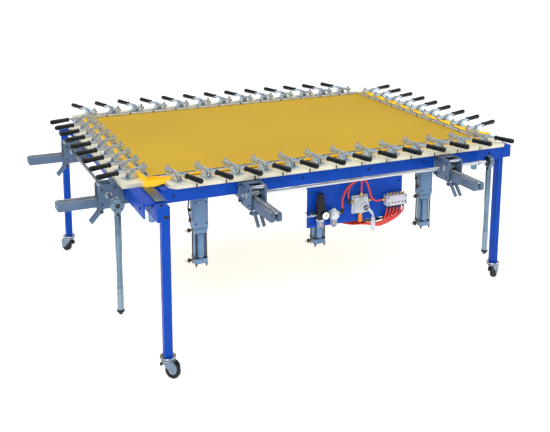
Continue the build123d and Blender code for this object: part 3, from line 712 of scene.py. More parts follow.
def rack(length):
    """A rack from its outer end at the origin inwards along -Y."""
    piece = Piece()
    bar = [(-length, RACK_LOW), (-8, RACK_LOW), (0, RACK_LOW + 8), (0, RACK_TOP - 6), (-6, RACK_TOP),
           (-length, RACK_TOP)]
    for x in (-17.5, 17.5):
        piece.slab(bar, X * x, Y, UP, 21, "hammer")
    piece.slab([(-length, 724), (-34, 724), (-34, 750), (-length, 750)], Vector(), Y, UP, 14.6, "hammer")
    teeth = [(-length + 90, RACK_TOP - 4), (-length + 90, RACK_TOP + 1.5)]
    tooth = ((0.0, 1.5), (1.0, 4.4), (2.4, 4.4), (3.4, 1.5))
    for step in range(int((length - 100) / TOOTH_PITCH)):
        y = -length + 92 + step * TOOTH_PITCH
        teeth += [(y + ahead, RACK_TOP + rise) for ahead, rise in tooth]
    teeth += [(-4, RACK_TOP + 1.5), (-4, RACK_TOP - 4)]
    piece.slab(teeth, Vector(), Y, UP, 16, "steel")
    for x in (-21.0, 21.0):
        piece.box((x, -length / 2 - 2, RACK_TOP + 0.6), (11, length - 14, 1.4), "steel")
    piece.box((0, -length + 26, 756), (54, 50, 5), "hammer", 1)
    return piece


def gear_box():
    """A gear box in its own frame, back on the beam's web."""
    piece = Piece()
    cheek = [(0, BOX_LOW + 4), (0, BOX_HIGH), (BOX_DEEP - 10, BOX_HIGH), (BOX_DEEP, BOX_HIGH - 10),
             (BOX_DEEP, BOX_LOW + 16), (BOX_DEEP - 12, BOX_LOW), (6, BOX_LOW)]
    screws = ((14, BOX_HIGH - 14), (14, BOX_LOW + 18), (BOX_DEEP - 16, BOX_LOW + 22), (40, BOX_HIGH - 16),
              (BOX_DEEP - 16, BOX_HIGH - 22))
    for side in (-X, X):
        piece.slab(cheek, side * 39.5, Y, UP, 11, "hammer")
        piece.lathe(side * 35.5 + Y * 70 + UP * SHAFT_Z, side,
                    [(0, 11), (0, 17), (11.5, 17), (13, 15.5), (13, 11)], "steel", 30)
        piece.cap_screws([side * 45 + Y * y + UP * z for y, z in screws], side, 4.2)
        piece.rod(side * 45 + Y * 34 + UP * (BOX_LOW + 48), side * 4, 7, "steel", 6)
        piece.rod(PAWL_PIVOT + side * 34, side * 6, 7, "dark", 6)
    piece.pin(PAWL_PIVOT, X * 37, 4, "dark")
    piece.box((0, 27, BOX_HIGH - 3), (76, 54, 6), "hammer", 1)
    piece.box((0, BOX_DEEP / 2 + 4, BOX_LOW + 1.5), (76, BOX_DEEP - 12, 5), "hammer", 1)
    piece.pin((0, 104, BOX_HIGH - 8), X * 37, 8, "chrome")
    piece.pin((0, 20, BOX_LOW + 14), X * 37, 4, "steel")
    piece.box((0, 4, 765), (120, 8, 100), "hammer", 1.5)
    for x, z in product((-54, 54), (726, 804)):
        piece.hex_bolt((x, 8, z), Y, 4.2)
    for x in (-30, 0, 30):
        piece.slab([(-10, -15), (10, -15), (10, 14), (-10, 14)], (x, 104, 692), Y, UP, 6, "hammer")
    piece.rod((26, 78, BOX_LOW), UP * -22, 2.4, "steel", 12)
    piece.rod((26, 78, BOX_LOW - 22), UP * -5, 5, "steel", 6)
    return piece


def pawl_pair():
    piece = Piece()
    bar = [(-8, -4), (-3, -9), (44, -60), (54, -51), (7, 2), (4, 8), (-4, 8), (-9, 3)]
    for x in (-15, 15):
        piece.slab(bar, PAWL_PIVOT + X * x, Y, UP, 14, "hammer")
        piece.pin(PAWL_PIVOT + X * x, X * 8, 6.5, "steel")
    return piece


def pinion_shaft(spots, length):
    """A shaft from its inner end at the origin along +X, with a pinion at each distance in spots."""
    piece = Piece()
    profile = [(0, 0), (0, 8.6), (1.4, 10), (length - 1.4, 10), (length, 8.6), (length, 0)]
    piece.lathe((0, 0, 0), X, profile, "chrome", 28)
    teeth = []
    for step in range(PINION_TEETH):
        for share, radius in ((0.0, 11.0), (0.22, 12.9), (0.45, 12.9), (0.67, 11.0)):
            angle = 2 * math.pi * (step + share) / PINION_TEETH
            teeth.append((radius * math.cos(angle), radius * math.sin(angle)))
    for spot in spots:
        piece.slab(teeth, X * spot, Y, UP, 20, "steel")
        for way in (-1, 1):
            collar = [(0, 10), (0, 12.6), (9, 12.6), (10, 11.6), (10, 10)]
            piece.lathe(X * (spot + 10 * way), X * way, collar, "steel", 24)
    piece.lathe(X * (length - 60), X, [(0, 10), (0, 14), (1, 15), (13, 15), (14, 14), (14, 10)], "steel", 28)
    return piece


def torque_wrench(drop):
    """A ratchet wrench hanging from the origin, its face towards +X."""
    piece = Piece()
    head = [(0, 11), (0, 29), (2, 33), (23, 33), (25, 31), (25, 19), (23, 18), (23, 12)]
    piece.lathe(X * -12.5, X, head, "wrench", 40)
    piece.rod((-12, 0, 0), X * 21, 17.6, "dark", 32)
    piece.lathe(X * -13.4, X, [(0, 0), (0, 25), (1.2, 27.6), (2, 27.6), (2, 0)], "dark", 40)
    piece.rod((9, 0, 0), X * 3, 8, "dark", 6)
    corners = [round_way(math.radians(45 + 90 * step), Y, UP) for step in range(4)]
    piece.cap_screws([X * 12.3 + corner * 25 for corner in corners], X, 3.4)
    piece.slab([(-20, -20), (20, -20), (13, -46), (-13, -46)], Vector(), Y, UP, 19, "wrench")
    for side, (z, reach, radius) in product((-X, X), ((-38, 3.85, 4.2), (-56, 4.4, 3))):
        piece.rod(side * 9.9 + UP * z, side * reach, radius, "dark", 20)
    piece.rod((0, 0, -44), UP * -4, 12.4, "dark")
    body = drop - SLEEVE_LENGTH - WRENCH_NECK
    profile = [(0, 0), (0, 14.4), (2, 15.8), (body * 0.45, 15.8), (body * 0.58, 14), (body * 0.62, 13.2),
               (body * 0.7, 13.6), (body - 10, 13.8), (body - 6, 14.6), (body, 14.6)]
    piece.lathe(UP * -WRENCH_NECK, -UP, profile, "wrench", 28)
    low = UP * (-WRENCH_NECK - body)
    sleeve = [(0, 12), (0, 15), (1.5, 15.8), (9, 15.8), (10, 14.6), (13, 14.6), (14, 15.6)]
    for ring in range(12):
        sleeve += [(18 + ring * 7, 15.6), (19 + ring * 7, 15.1), (20 + ring * 7, 15.6)]
    piece.lathe(low, -UP, [*sleeve, (109, 15.6), (110, 14)], "sleeve", 28)
    knob = [(109, 12), (110, 17.5), (115, 19), (121, 18), (125, 13.5), (127, 11.5), (132, 10.5), (134.5, 8),
            (SLEEVE_LENGTH, 0)]
    piece.lathe(low, -UP, knob, "black", 28)
    return piece


def build_drives():
    racks = Piece()
    for side, turn, reach in (("front", Matrix(), 465), ("left", QUARTER.inverted(), 415)):
        boxes = box_spots(side)
        for draw, part, body, node in ((gear_box, "gear_box", "beam", "gear_boxes"),
                                       (pawl_pair, "pawl", "pawls", "pawls")):
            piece = draw().copies(boxes)
            piece.build(f"{side}_{part}_set", f"{side}_{body}", f"{side}_{node}", "blue_grey_steel", 0.8)
        low, high = node_box(f"{side}_pinion_shaft")
        ahead = turn.to_3x3() @ X
        length = max(high - low)
        start = (low + high) / 2 - ahead * length / 2
        spots = [(box.translation - start).dot(ahead) for box in boxes]
        pinion_shaft(spots, length).copies([Matrix.Translation(start) @ turn]).build(
            f"{side}_shaft_and_pinions", f"{side}_shaft", f"{side}_pinion_shaft", "chrome_shaft", 0.3)
        head = middle_of(f"{side}_torque_wrench")
        head.z = SHAFT_Z
        drop = SHAFT_Z - node_box(f"{side}_torque_wrench")[0].z
        torque_wrench(drop).copies([Matrix.Translation(head) @ turn]).build(
            f"{side}_ratchet_wrench", f"{side}_wrench", f"{side}_torque_wrench", "wrench_steel", 0.4)
        racks.take(rack(reach).copies(rack_ends(side)))
    racks.build("rack_set", "root", "racks", "blue_grey_steel", 0.6)


# ---- cylinders and lift

CAP_LOW, BARREL_LOW, BARREL_TOP, BARREL_RADIUS = 369, 395, 530, 32
COLLAR_Z, ROD_Z, ROD_NUT_Z = 415, 431, 755


def elbow(piece, at, radius, tall):
    """A black push-in elbow, standing on its end."""
    profile = [(0, 5), (0, radius), (tall, radius), (tall + 2, radius - 1.5), (tall + 2, 0)]
    piece.lathe(at, UP, profile, "black", 20)


def cylinder_barrel():
    piece = Piece()
    barrel = [(0, 28), (0, 31), (2, 32), (133, 32), (135, 31), (135, 28)]
    piece.lathe((0, 0, BARREL_LOW), UP, barrel, "alloy", 40)
    for z, way in ((BARREL_LOW, UP), (BARREL_TOP, -UP)):
        piece.lathe((0, 0, z), way, [(0, 33.2), (3, 33.2), (4, 32)], "dark", 40)
    return piece


def cylinder_caps():
    piece = Piece()
    outline = []
    for corner, step in product(range(4), range(-3, 4)):
        way = round_way(math.radians(45 + 90 * corner + step * 13))
        spot = way * 38 * (1 + 0.16 * math.cos(2 * math.radians(step * 13 * 1.7)))
        outline.append([max(-36, min(36, at)) for at in spot.xy])
    for low, tall in ((CAP_LOW, BARREL_LOW - CAP_LOW), (BARREL_TOP, 22)):
        piece.slab(outline, (0, 0, low + tall / 2), X, Y, tall, "grey")
    piece.lathe((0, 0, CAP_LOW), -UP, [(0, 22), (2, 21), (2, 8), (0.5, 7), (0.5, 0)], "grey")
    tie_rod = ((BARREL_LOW, BARREL_TOP - BARREL_LOW, 4, 16), (BARREL_LOW, 6, 6.5, 6), (CAP_LOW, -4, 8, 6),
               (CAP_LOW - 4, -12, 4, 16))
    for x, y, (z, tall, radius, sides) in product((-27, 27), (-27, 27), tie_rod):
        piece.rod((x, y, z), UP * tall, radius, "dark", sides)
    for z in (382, 542):
        piece.rod((-35, 0, z), X * -9, 8, "brass", 6)
        piece.rod((-44, 0, z), X * -12, 6.5, "black")
        elbow(piece, (-56, 0, z - 9), 7, 18)
        piece.rod((-56, 0, z), X * -10, 4, "brass")
        piece.rod((-66, 0, z), X * -12, 2.6, "steel", 12)
    return piece


def bracket_details():
    """Screws, seams and hose fittings on the bracket's outer face, which looks towards -Y."""
    piece = Piece()
    face = -30
    piece.cap_screws([(x, face, z) for z, x in product((580, 690), (-28, 28))], -Y, 4)
    piece.box((-39.5, -8, 668), (3, 34, 150), "grey", 1)
    piece.lathe((20, face - 0.2, 722), -Y, [(0, 6), (0, 11), (3, 11), (3.6, 9), (3.6, 6)], "brass", 28)
    piece.rod((-34, face - 0.6, 702), X * 50, 0.9, "dark", 8)
    for y, z, reach, radius, tall, below in ((-12, 600, 11, 7, 15, 8), (6, 646, 9, 6, 13, 6)):
        piece.rod((-41, y, z), -X * reach, radius, "brass", 6)
        elbow(piece, (-41 - reach, y, z - below), radius + 0.5, tall)
    piece.hose([(-52, -12, 608), (-58, -4, 660), (-48, 10, 710), (-44, 24, 748)], 3.6, "black")
    return piece


def lift_carriage(places, columns):
    """The piston rods with their collars, and the cross bars they carry."""
    piece = Piece()
    for place in places:
        foot = place.translation
        collar = [(0, 0), (0, 26), (1, 27.6), (15, 27.6), (16, 26), (16, 10)]
        piece.lathe(foot + UP * COLLAR_Z, UP, collar, "dark")
        piece.lathe(foot + UP * ROD_Z, UP, [(0, 10), (330, 10), (334, 10)], "chrome", 24)
        piece.lathe(foot + UP * ROD_NUT_Z, UP, [(0, 10), (0, 16), (10, 16)], "steel", 6)
    low, high = node_box("lift_carriage")
    deep = high.y - low.y - 56
    for x in columns:
        centre = Vector((x, (low.y + high.y) / 2, high.z - 12))
        piece.box(centre, (40, deep, 24), "blue", 2)
        piece.box(centre + UP * 11, (30, deep - 4, 2.2), "steel")
        piece.cap_screws([(x, place.translation.y, high.z - 1) for place in (places[0], places[-1])], UP, 5)
    return piece


def build_cylinders():
    low, high = node_box("cylinder_barrels")
    columns = (low.x + BARREL_RADIUS, (low.x + high.x) / 2, high.x - BARREL_RADIUS)
    places = [Matrix.Translation((x, low.y + BARREL_RADIUS, 0)) for x in columns]
    places += [Matrix.Translation((x, high.y - BARREL_RADIUS, 0)) @ HALF for x in columns]
    cylinder_barrel().copies(places).build("barrel_set", "root", "cylinder_barrels", "cylinder_alloy", 0.4)
    cylinder_caps().copies(places).build("cap_set", "root", "cylinder_caps", "blue_grey_steel", 1.0)
    bracket_details().copies(places).build("bracket_fittings", "root")
    lift_carriage(places, columns).build("lift_bars_and_rods", "lift", "lift_carriage", "chrome_shaft", 0.5)


# ---- air panel, counted from the middle of the mesh

PANEL_Y = -800.0
GAUGE_X, GAUGE_Z = -92.0, 592.0
VALVE_X, VALVE_Z = 133, 610
PORT_X, PORT_Z = 346, 610
PORTS = [PORT_X + 20 * (step - 2.5) for step in range(6)]
KNOB_RIBS = 24
UNIT_LOW, BOWL_TOP = 566, 561
AIR_HOSE, BUNDLE_HOSE, SENSOR_HOSE = 4.8, 4.6, 3.2


def air_unit():
    """Regulator, gauge and lubricator."""
    piece = Piece()
    y = PANEL_Y - 30
    for x, top, key in ((-107, 634, "black"), (-29, 600, "valve")):
        piece.box((x, y, (UNIT_LOW + top) / 2), (44, 44, top - UNIT_LOW), key, 5)
        piece.lathe((x, y, 572), -UP, [(0, 20), (0, 22), (9, 22), (10, 20.5), (13, 20.5)], "valve")
        bowl = [(0, 19.5), (6, 19.6), (28, 18), (38, 15), (43, 9), (44, 5), (44, 0)]
        piece.lathe((x, y, BOWL_TOP), -UP, bowl, "bowl", 36)
        piece.lathe((x, y, 521), -UP, [(0, 6), (1, 7), (6, 7), (8, 4), (8, 0)], "dark", 20)
        piece.rod((x, y, 552), UP * -22, 6, "brass", 20)
        piece.cap_screws([(x + dx, y - 22, 590) for dx in (-15, 15)], -Y, 2.8)
        piece.box((x, PANEL_Y - 4, 584), (30, 8, 26), "grey", 1)
    piece.lathe((-107, y, 634), UP, [(-6, 22), (-3, 22), (0, 19)], "black")
    piece.lathe((-29, y, 600), UP, [(0, 16), (3, 15), (3, 12), (11, 11), (13, 9), (13, 0)], "valve", 28)
    piece.rod((-84, y, 582), X * 34, 9, "steel")
    rim = [(0, 21), (-4, 24), (-9, 24), (-10, 22.5), (-10, 20), (-8.4, 19.4)]
    piece.lathe((GAUGE_X, y - 24, GAUGE_Z), Y, rim, "black", 36)
    piece.rod((GAUGE_X, y - 26, GAUGE_Z), Y * 24, 6, "brass")
    piece.lathe((GAUGE_X, y - 33.2, GAUGE_Z), Y, [(0, 0), (0, 19.4), (0.4, 19.4)], "dial", 36)
    dial = y - 32.8
    piece.slab([(-1, -4), (1, -4), (0.6, 15), (-0.6, 15)], (GAUGE_X, dial - 1.0, GAUGE_Z),
               Vector((0.8, 0, -0.6)), Vector((0.6, 0, 0.8)), 0.7, "black")
    piece.lathe((GAUGE_X, dial - 0.6, GAUGE_Z), -Y, [(0, 2.6), (1.2, 2.6), (1.6, 0)], "black", 16)
    piece.rod((-129, y, 592), X * -21, 7, "steel")
    piece.rod((-150, y, 592), X * -8, 9, "steel", 6)
    piece.hose([(-158, y, 592), (-170, y - 2, 592), (-182, y - 3, 590)], 4.5, "chrome")
    piece.hose([(-150, y, 600), (-156, y, 610), (-172, y - 4, 612)], 5, "black")
    piece.rod((-172, y - 4, 612), Vector((-18, -2, -2)), 3, "dark", 14)
    piece.rod((-6, y, 586), X * 12, 7.5, "brass", 6)
    piece.hose([(6, y, 586), (18, y, 586), (22, y, 592), (22, y, 606)], 8, "black")
    return piece


def ribbed_knob():
    """The regulator's knob, placed by its CAD joint."""
    piece = Piece()
    spot = joint_spot("knob_turn")
    low, high = node_box("regulator_knob")
    spot.z = low.z
    tall = high.z - low.z
    profile = [(0, 0), (0, 22), (1.5, 23.4), (9, 23.4), (10, 22), (12, 20), (tall - 4, 16.4), (tall - 1, 15),
               (tall, 12), (tall, 5), (tall - 1.5, 4), (tall - 1.5, 0)]
    piece.lathe(spot, UP, profile, "black", 36)
    for step in range(KNOB_RIBS):
        way = round_way(2 * math.pi * step / KNOB_RIBS)
        piece.rod(spot + way * 19.9 + UP * 12, way * -3.5 + UP * (tall - 16), 1.3, "black", 8)
    return piece


def hand_valve():
    piece = Piece()
    x, y, z = VALVE_X, PANEL_Y - 20, VALVE_Z
    piece.box((x, PANEL_Y - 9, z), (94, 18, 98), "valve", 5)
    piece.box((x, PANEL_Y - 25, z), (80, 20, 84), "valve", 6)
    turret = [(0, 42), (7, 42), (8, 40), (8, 36), (10, 36), (10, 38), (16, 38), (17, 36), (17, 31), (19, 31),
              (19, 33), (24, 33), (25, 31), (25, 25), (31, 24), (31.5, 0)]
    piece.lathe((x, PANEL_Y - 30, z), -Y, turret, "valve", 44)
    piece.cap_screws([(x + dx, PANEL_Y - 18, z + dz) for dx, dz in product((-38, 38), (-40, 40))], -Y, 3.6)
    piece.rod((x + 4, y, z + 47), UP * 7, 10, "brass", 6)
    piece.lathe((x + 4, y, z + 54), UP, [(0, 7.5), (10, 7.5), (12, 6), (13, 5)], "brass", 24)
    for way in (-1, 1):
        piece.rod((x + 46 * way, y, z + 18), X * 8 * way, 9, "brass", 6)
        piece.lathe((x + 54 * way, y, z + 18), X * way, [(0, 8), (6, 8), (8, 6), (8, 0)], "brass", 20)
    bend = [(-54, 18), (-66, 18), (-72, 24), (-72, 40)]
    piece.hose([(x + dx, y, z + dz) for dx, dz in bend], 8, "black")
    piece.rod((x, y, z - 47), UP * -7, 9.5, "brass", 6)
    silencer = [(0, 6), (0, 10)]
    for ring in range(8):
        silencer += [(3 + ring * 4.4, 11), (4.4 + ring * 4.4, 11), (5.2 + ring * 4.4, 10.2)]
    piece.lathe((x, y, z - 53), -UP, [*silencer, (40, 10.8), (42, 8), (43, 0)], "orange", 28)
    return piece


def lever_handle():
    piece = Piece()
    x, z = VALVE_X, VALVE_Z
    face = PANEL_Y - 61.8
    hub = [(0, 0), (0, 24), (10, 24), (12, 22), (16, 21), (18, 19), (18, 17), (16.6, 16), (16.6, 0)]
    piece.lathe((x, face, z), -Y, hub, "valve", 40)
    piece.pin((x, face - 17.6, z), Vector((10, 0, 4)), 2.6, "manifold", 16)
    piece.lathe((x, face - 16.7, z), -Y, [(0, 0), (0, 15.6), (0.3, 15.6)], "dark", 36)
    arm = [(8, 13), (24, -4), (48, -34), (52, -46), (44, -50), (36, -40), (12, -13), (0, -13)]
    piece.slab(arm, (x, face - 5, z), X, UP, 7, "steel")
    piece.rod((x + 49, face - 6.5, z - 42), Vector((1, 0, -22)), 5, "steel")
    grip = [(0, 5), (0, 8), (3, 10), (30, 11.4), (60, 12.4), (72, 12), (78, 8), (80, 0)]
    piece.lathe((x + 50, face - 7, z - 60), -UP, grip, "manifold", 28)
    return piece


def port_block():
    piece = Piece()
    x, y, z = PORT_X, PANEL_Y - 22, PORT_Z
    piece.box((x, y, z), (124, 42, 54), "manifold", 2.5)
    piece.cap_screws([(x + dx, y - 21, z + dz) for dx, dz in product((-54, 54), (-20, 20))], -Y, 3.2)
    for port in PORTS:
        piece.rod((port, y, z + 27), UP * 4, 6.4, "brass", 6)
        piece.lathe((port, y, z + 31), UP, [(0, 3), (0, 4.6), (9, 4.6), (10, 4), (11, 0)], "brass", 18)
        piece.rod((port, y, z - 27), UP * -4, 7.2, "brass", 6)
        piece.lathe((port, y, z - 31), -UP, [(0, 7), (9, 7), (11, 5.6), (13, 5.2)], "black", 20)
        piece.lathe((port, y - 21, z - 10), -Y, [(0, 3.4), (3, 3.4), (4, 2), (4, 0)], "dark", 16)
    piece.rod((x - 62, y, z + 8), X * -8, 8, "brass", 6)
    piece.lathe((x - 70, y, z + 8), -X, [(0, 7), (10, 7), (12, 5.4)], "brass", 20)
    return piece


def hose_set():
    """Four hoses that meet in a tie above the valve, and the bundle that hangs below the ports."""
    piece = Piece()
    y = PANEL_Y - 22
    tie = (118, y - 6, 748)
    for points in (
        [(22, PANEL_Y - 30, 604), (20, y - 8, 650), (38, y - 12, 704), (78, y - 14, 740), tie],
        [(61, y + 2, 648), (60, y, 690), (78, y - 2, 728), (118, y, 744)],
        [(137, y + 2, 674), (137, y, 708), (134, y - 2, 736), (116, y - 2, 746)],
        [tie, (158, y - 8, 736), (178, y - 8, 690), (192, y - 8, 646), (222, y - 6, 620), (264, y, 618)],
    ):
        piece.hose(points, AIR_HOSE, "red")
    piece.lathe((112, y - 4, 745), X, [(0, 8), (1, 11), (6, 11), (7, 8)], "black", 20)
    for step, x in enumerate(PORTS):
        sag = 6 * (5 - step)
        piece.hose([(x, y, 568), (x - 4, y, 540), (x - 30 - step * 5, y + 6, 504 - sag * 0.3 - step),
                    (x - 100 - step * 9, y + 26, 478 + sag * 0.4 - step * 2),
                    (x - 190 - step * 9, y + 60, 486 + step * 3), (x - 300, y + 110, 516 + step * 4),
                    (x - 360, y + 150, 560)], BUNDLE_HOSE, "red")
        if step < 4:
            piece.hose([(x + 9, y + 6, 568), (x + 6, y + 8, 536), (x - 40 - step * 6, y + 24, 500 + step * 2),
                        (x - 130, y + 50, 498 + step * 4), (x - 240, y + 90, 520 + step * 3),
                        (x - 330, y + 140, 566)], SENSOR_HOSE, "black")
    return piece


def build_air():
    ribbed_knob().build("pressure_knob", "knob", "regulator_knob", "black_plastic", 0)
    for draw, name, body, node, slot, bevel in (
        (air_unit, "air_service_unit", "root", "air_regulator", "valve_grey", 0.3),
        (hand_valve, "valve_body", "root", "hand_valve", "valve_grey", 0.3),
        (lever_handle, "valve_handle", "valve_lever", "valve_lever", "valve_grey", 0.4),
        (port_block, "port_manifold", "root", "manifold", "valve_grey", 0.3),
        (hose_set, "hose_bundle", "root", "air_hoses", "red_hose", 0),
    ):
        draw().copies([TABLE]).build(name, body, node, slot, bevel)


# ---- casters

AXLE = Vector((26, 0, 37.5))
WHEEL_SPOKES = 6


def caster_fork():
    """A fork about its swivel, the wheel trailing towards +X."""
    piece = Piece()
    race = [(0, 0), (0, 28), (0.6, 31), (2.8, 33), (4.8, 31), (5.6, 27), (6.4, 31), (8.6, 35.5), (11, 34),
            (13, 28), (14, 20), (14, 0)]
    piece.lathe((0, 0, 98.4), -UP, race, "chrome", 44)
    cheek = [(-24, 84), (-20, 88), (26, 88), (44, 82), (55, 67), (57, 47), (50, 31), (37, 23), (24, 24),
             (9, 41), (-11, 63), (-22, 77)]
    for side in (-Y, Y):
        piece.slab(cheek, side * 16, X, UP, 2.6, "fork")
        piece.rod(AXLE + side * 16, side * 5, 6.4, "steel", 6)
        piece.rod(AXLE + side * 16, side * 7.4, 3.6, "steel", 18)
    crown = [(-24, 80), (-24, 88), (26, 88), (40, 82), (38, 80), (24, 84), (-18, 82)]
    piece.slab(crown, Vector(), X, UP, 32, "fork")
    piece.pin(AXLE, Y * 15, 3.7, "steel")
    pedal = [(-10, 80), (-26, 77), (-37, 64), (-35, 54), (-28, 52), (-20, 60), (-10, 68)]
    piece.slab(pedal, Vector(), X, UP, 29, "black")
    for rib in range(4):
        piece.pin((-34 + rib * 3, 0, 68 + rib * 3.4), Y * 12, 1.3, "black", 8)
    return piece


def caster_wheel():
    piece = Piece()
    half_tyre = [(-11, 27), (-12, 30), (-12, 34), (-10, 36.6), (-6, 37.5)]
    half_hub = [(-12, 4.4), (-12, 9), (-10, 10), (-7, 12), (-7, 24), (-11, 26), (-11, 28)]
    for half, key, sides in ((half_tyre, "tyre", 48), (half_hub, "black", 40)):
        piece.lathe(AXLE, Y, half + [(-along, radius) for along, radius in reversed(half)], key, sides)
    for step in range(WHEEL_SPOKES):
        angle = 2 * math.pi * step / WHEEL_SPOKES
        spoke = AXLE + round_way(angle, X, UP) * 18
        piece.box(spoke, (13, 18, 2.2), "black", 0.5, Matrix.Rotation(-angle, 4, "Y"))
    return piece


def build_casters():
    for corner in ("front_left", "front_right", "rear_left", "rear_right"):
        swivel, hub = (joint_spot(f"{corner}_{joint}") for joint in ("swivel", "roll"))
        heading = math.atan2(hub.y - swivel.y, hub.x - swivel.x)
        place = Matrix.Translation((swivel.x, swivel.y, 0)) @ Matrix.Rotation(heading, 4, "Z")
        for draw, part, slot, bevel, segments in ((caster_fork, "fork", "caster_zinc", 0.5, 2),
                                                  (caster_wheel, "wheel", "caster_tyre", 0.2, 1)):
            body = f"{corner}_{part}"
            draw().copies([place]).build(f"{corner}_caster_{part}", body, body, slot, bevel, segments)


# ---- fittings on the frame

LEFT_RAIL_X = -1003
STRIP_START, STRIP_END = -967.3, 640.3
STRIP_Z, BEAM_SCREW_Z, ROLLER_Z, CASTER_PLATE_Z = 814.8, 792, 757, 106.2
CASTER_SPOTS = ((-993, -1037), (1080, -748), (-1106, 692), (1080, 692))


def build_fittings():
    """Slide strip, guide rollers, caster plates and screws, counted from the middle of the mesh."""
    base = Piece()
    strip = STRIP_END - STRIP_START
    base.box((LEFT_RAIL_X, STRIP_START + strip / 2, STRIP_Z), (46.4, strip, 5.2), "steel", 0.8)
    along_strip = [STRIP_START + reach for reach in (26, 300, 700, 1200, strip - 30)]
    base.cap_screws([(LEFT_RAIL_X, y, STRIP_Z + 1.8) for y in along_strip], UP, 6)
    base.hex_bolt((LEFT_RAIL_X, -1028, 826), UP, 7)
    for x in (-996, -984):
        base.rod((x, -1056.6, 778), Y * -2, 7, "black", 20)
    for x, y in ((LEFT_RAIL_X, -868), (LEFT_RAIL_X, 655), (890, -772), (1080, 655)):
        roller = [(0, 15), (3, 19), (9, 19), (10, 17.5), (54, 17.5), (58, 15.5), (58, 6), (62, 6), (62, 0)]
        base.lathe((x, y, ROLLER_Z), -UP, roller, "alloy", 30)
    for x, y in CASTER_SPOTS:
        plate = [(0, 0), (0, 33), (1.2, 37.4), (3.6, 38.8), (6, 37.6), (7.6, 33), (7.6, 0)]
        base.lathe((x, y, CASTER_PLATE_Z), -UP, plate, "chrome", 44)
    base.cap_screws([(x, PANEL_Y, z) for z, x in product((705, 535), (-150, 380))], -Y, 4.4)
    front = Piece()
    front.cap_screws([(x, -815, BEAM_SCREW_Z) for x in (-880, -560, -200, 180, 520, 960)], -Y, 5.5)
    left = Piece()
    left.box((-994, -862, 829), (48, 234, 6), "strip", 1)
    left.cap_screw((-994, -930, 831.2), UP, 6, "steel")
    left.cap_screws([(-1075, y, BEAM_SCREW_Z) for y in (-930, -640, -360, -60, 200, 560)], -X, 5.5)
    for piece, name, body, bevel in ((base, "frame_fittings", "root", 0.4),
                                     (front, "front_beam_screws", "front_beam", 0.3),
                                     (left, "left_beam_screws", "left_beam", 0.3)):
        piece.copies([TABLE]).build(name, body, bevel=bevel)


# ---- mesh cloth

HALF_X, HALF_Y = 978.0, 707.0
TAIL = 32.0
EDGE = 100.0
CLOTH_Z = 849.7


def sheet(name, xs, ys, surface):
    """A cloth object over the grid of xs and ys, its points given by surface(x, y)."""
    verts = [TABLE @ surface(x, y) * MM for y in ys for x in xs]
    wide = len(xs)
    faces = [(at, at + 1, at + wide + 1, at + wide)
             for at in (r * wide + c for r, c in product(range(len(ys) - 1), range(wide - 1)))]
    mesh = bpy.data.meshes.new(name)
    mesh.from_pydata(verts, [], faces)
    mesh.materials.append(M["mesh"])
    mesh.materials.append(M["tail"])
    for face in mesh.polygons:
        face.use_smooth = True
        at = face.center / MM - TABLE.translation
        # Faces beyond the jaws take the glowing tail cloth: painted light.
        face.material_index = int(abs(at.x) > HALF_X or abs(at.y) > HALF_Y)
    made = add_object(name, mesh)
    return made


def steps(low, high, count):
    return [low + (high - low) * k / count for k in range(count + 1)]


def sheet_point(x, y):
    """The cloth at rest: flat in the middle, its tails curling up behind the jaws."""
    z = CLOTH_Z + 0.22 * math.sin(x / 47) * math.sin(y / 39)
    beyond = max(abs(x) - HALF_X, abs(y) - HALF_Y, 0)
    if beyond:
        along = y if abs(x) - HALF_X > abs(y) - HALF_Y else x
        ripple = 0.5 + 0.5 * math.sin(along / 31 + 1.3 * math.sin(along / 83))
        curl = 0.06 if y > HALF_Y else 0.45 + 0.35 * ripple
        z += beyond * curl * min(1, beyond / 8)
    return Vector((x, y, z))


def left_edge_point(x, y):
    """The same cloth, a hair lower where the front edge lies over it."""
    return sheet_point(x, y) - UP * 0.15 * (y < -HALF_Y + EDGE)


def corner_flap(name, start, corner, end, droop, lift):
    """A crumpled strip of cloth round a corner from start to end, hanging droop below its lifted top edge."""
    start, corner, end = Vector(start), Vector(corner), Vector(end)
    path = smooth_path([start, (start + corner) / 2, corner, (corner + end) / 2, end], 14)
    count = len(path) - 1
    outward = (corner - (start + end) / 2).to_2d().to_3d().normalized()

    def surface(u, v):
        swell = math.sin(math.pi * u / count)
        crease = math.sin(u * 1.1 + v * 2.2) * 2.4 + math.sin(u * 0.43 - v * 3.1) * 2.0
        flat = 1 - 0.6 * swell
        if v < 0:
            return path[u] + outward * v * 92 * swell + UP * (lift * (1 + v) * flat + 0.9 * v * v * swell)
        fall = v * v * droop * (0.25 + 0.75 * swell)
        rise = lift * (1 - v) * flat
        return path[u] + outward * (v * 26 * swell + crease * v * 1.3) + UP * (rise - fall + crease * 0.6 * v)

    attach(sheet(name, range(count + 1), steps(-1, 1, 20), surface), "root")


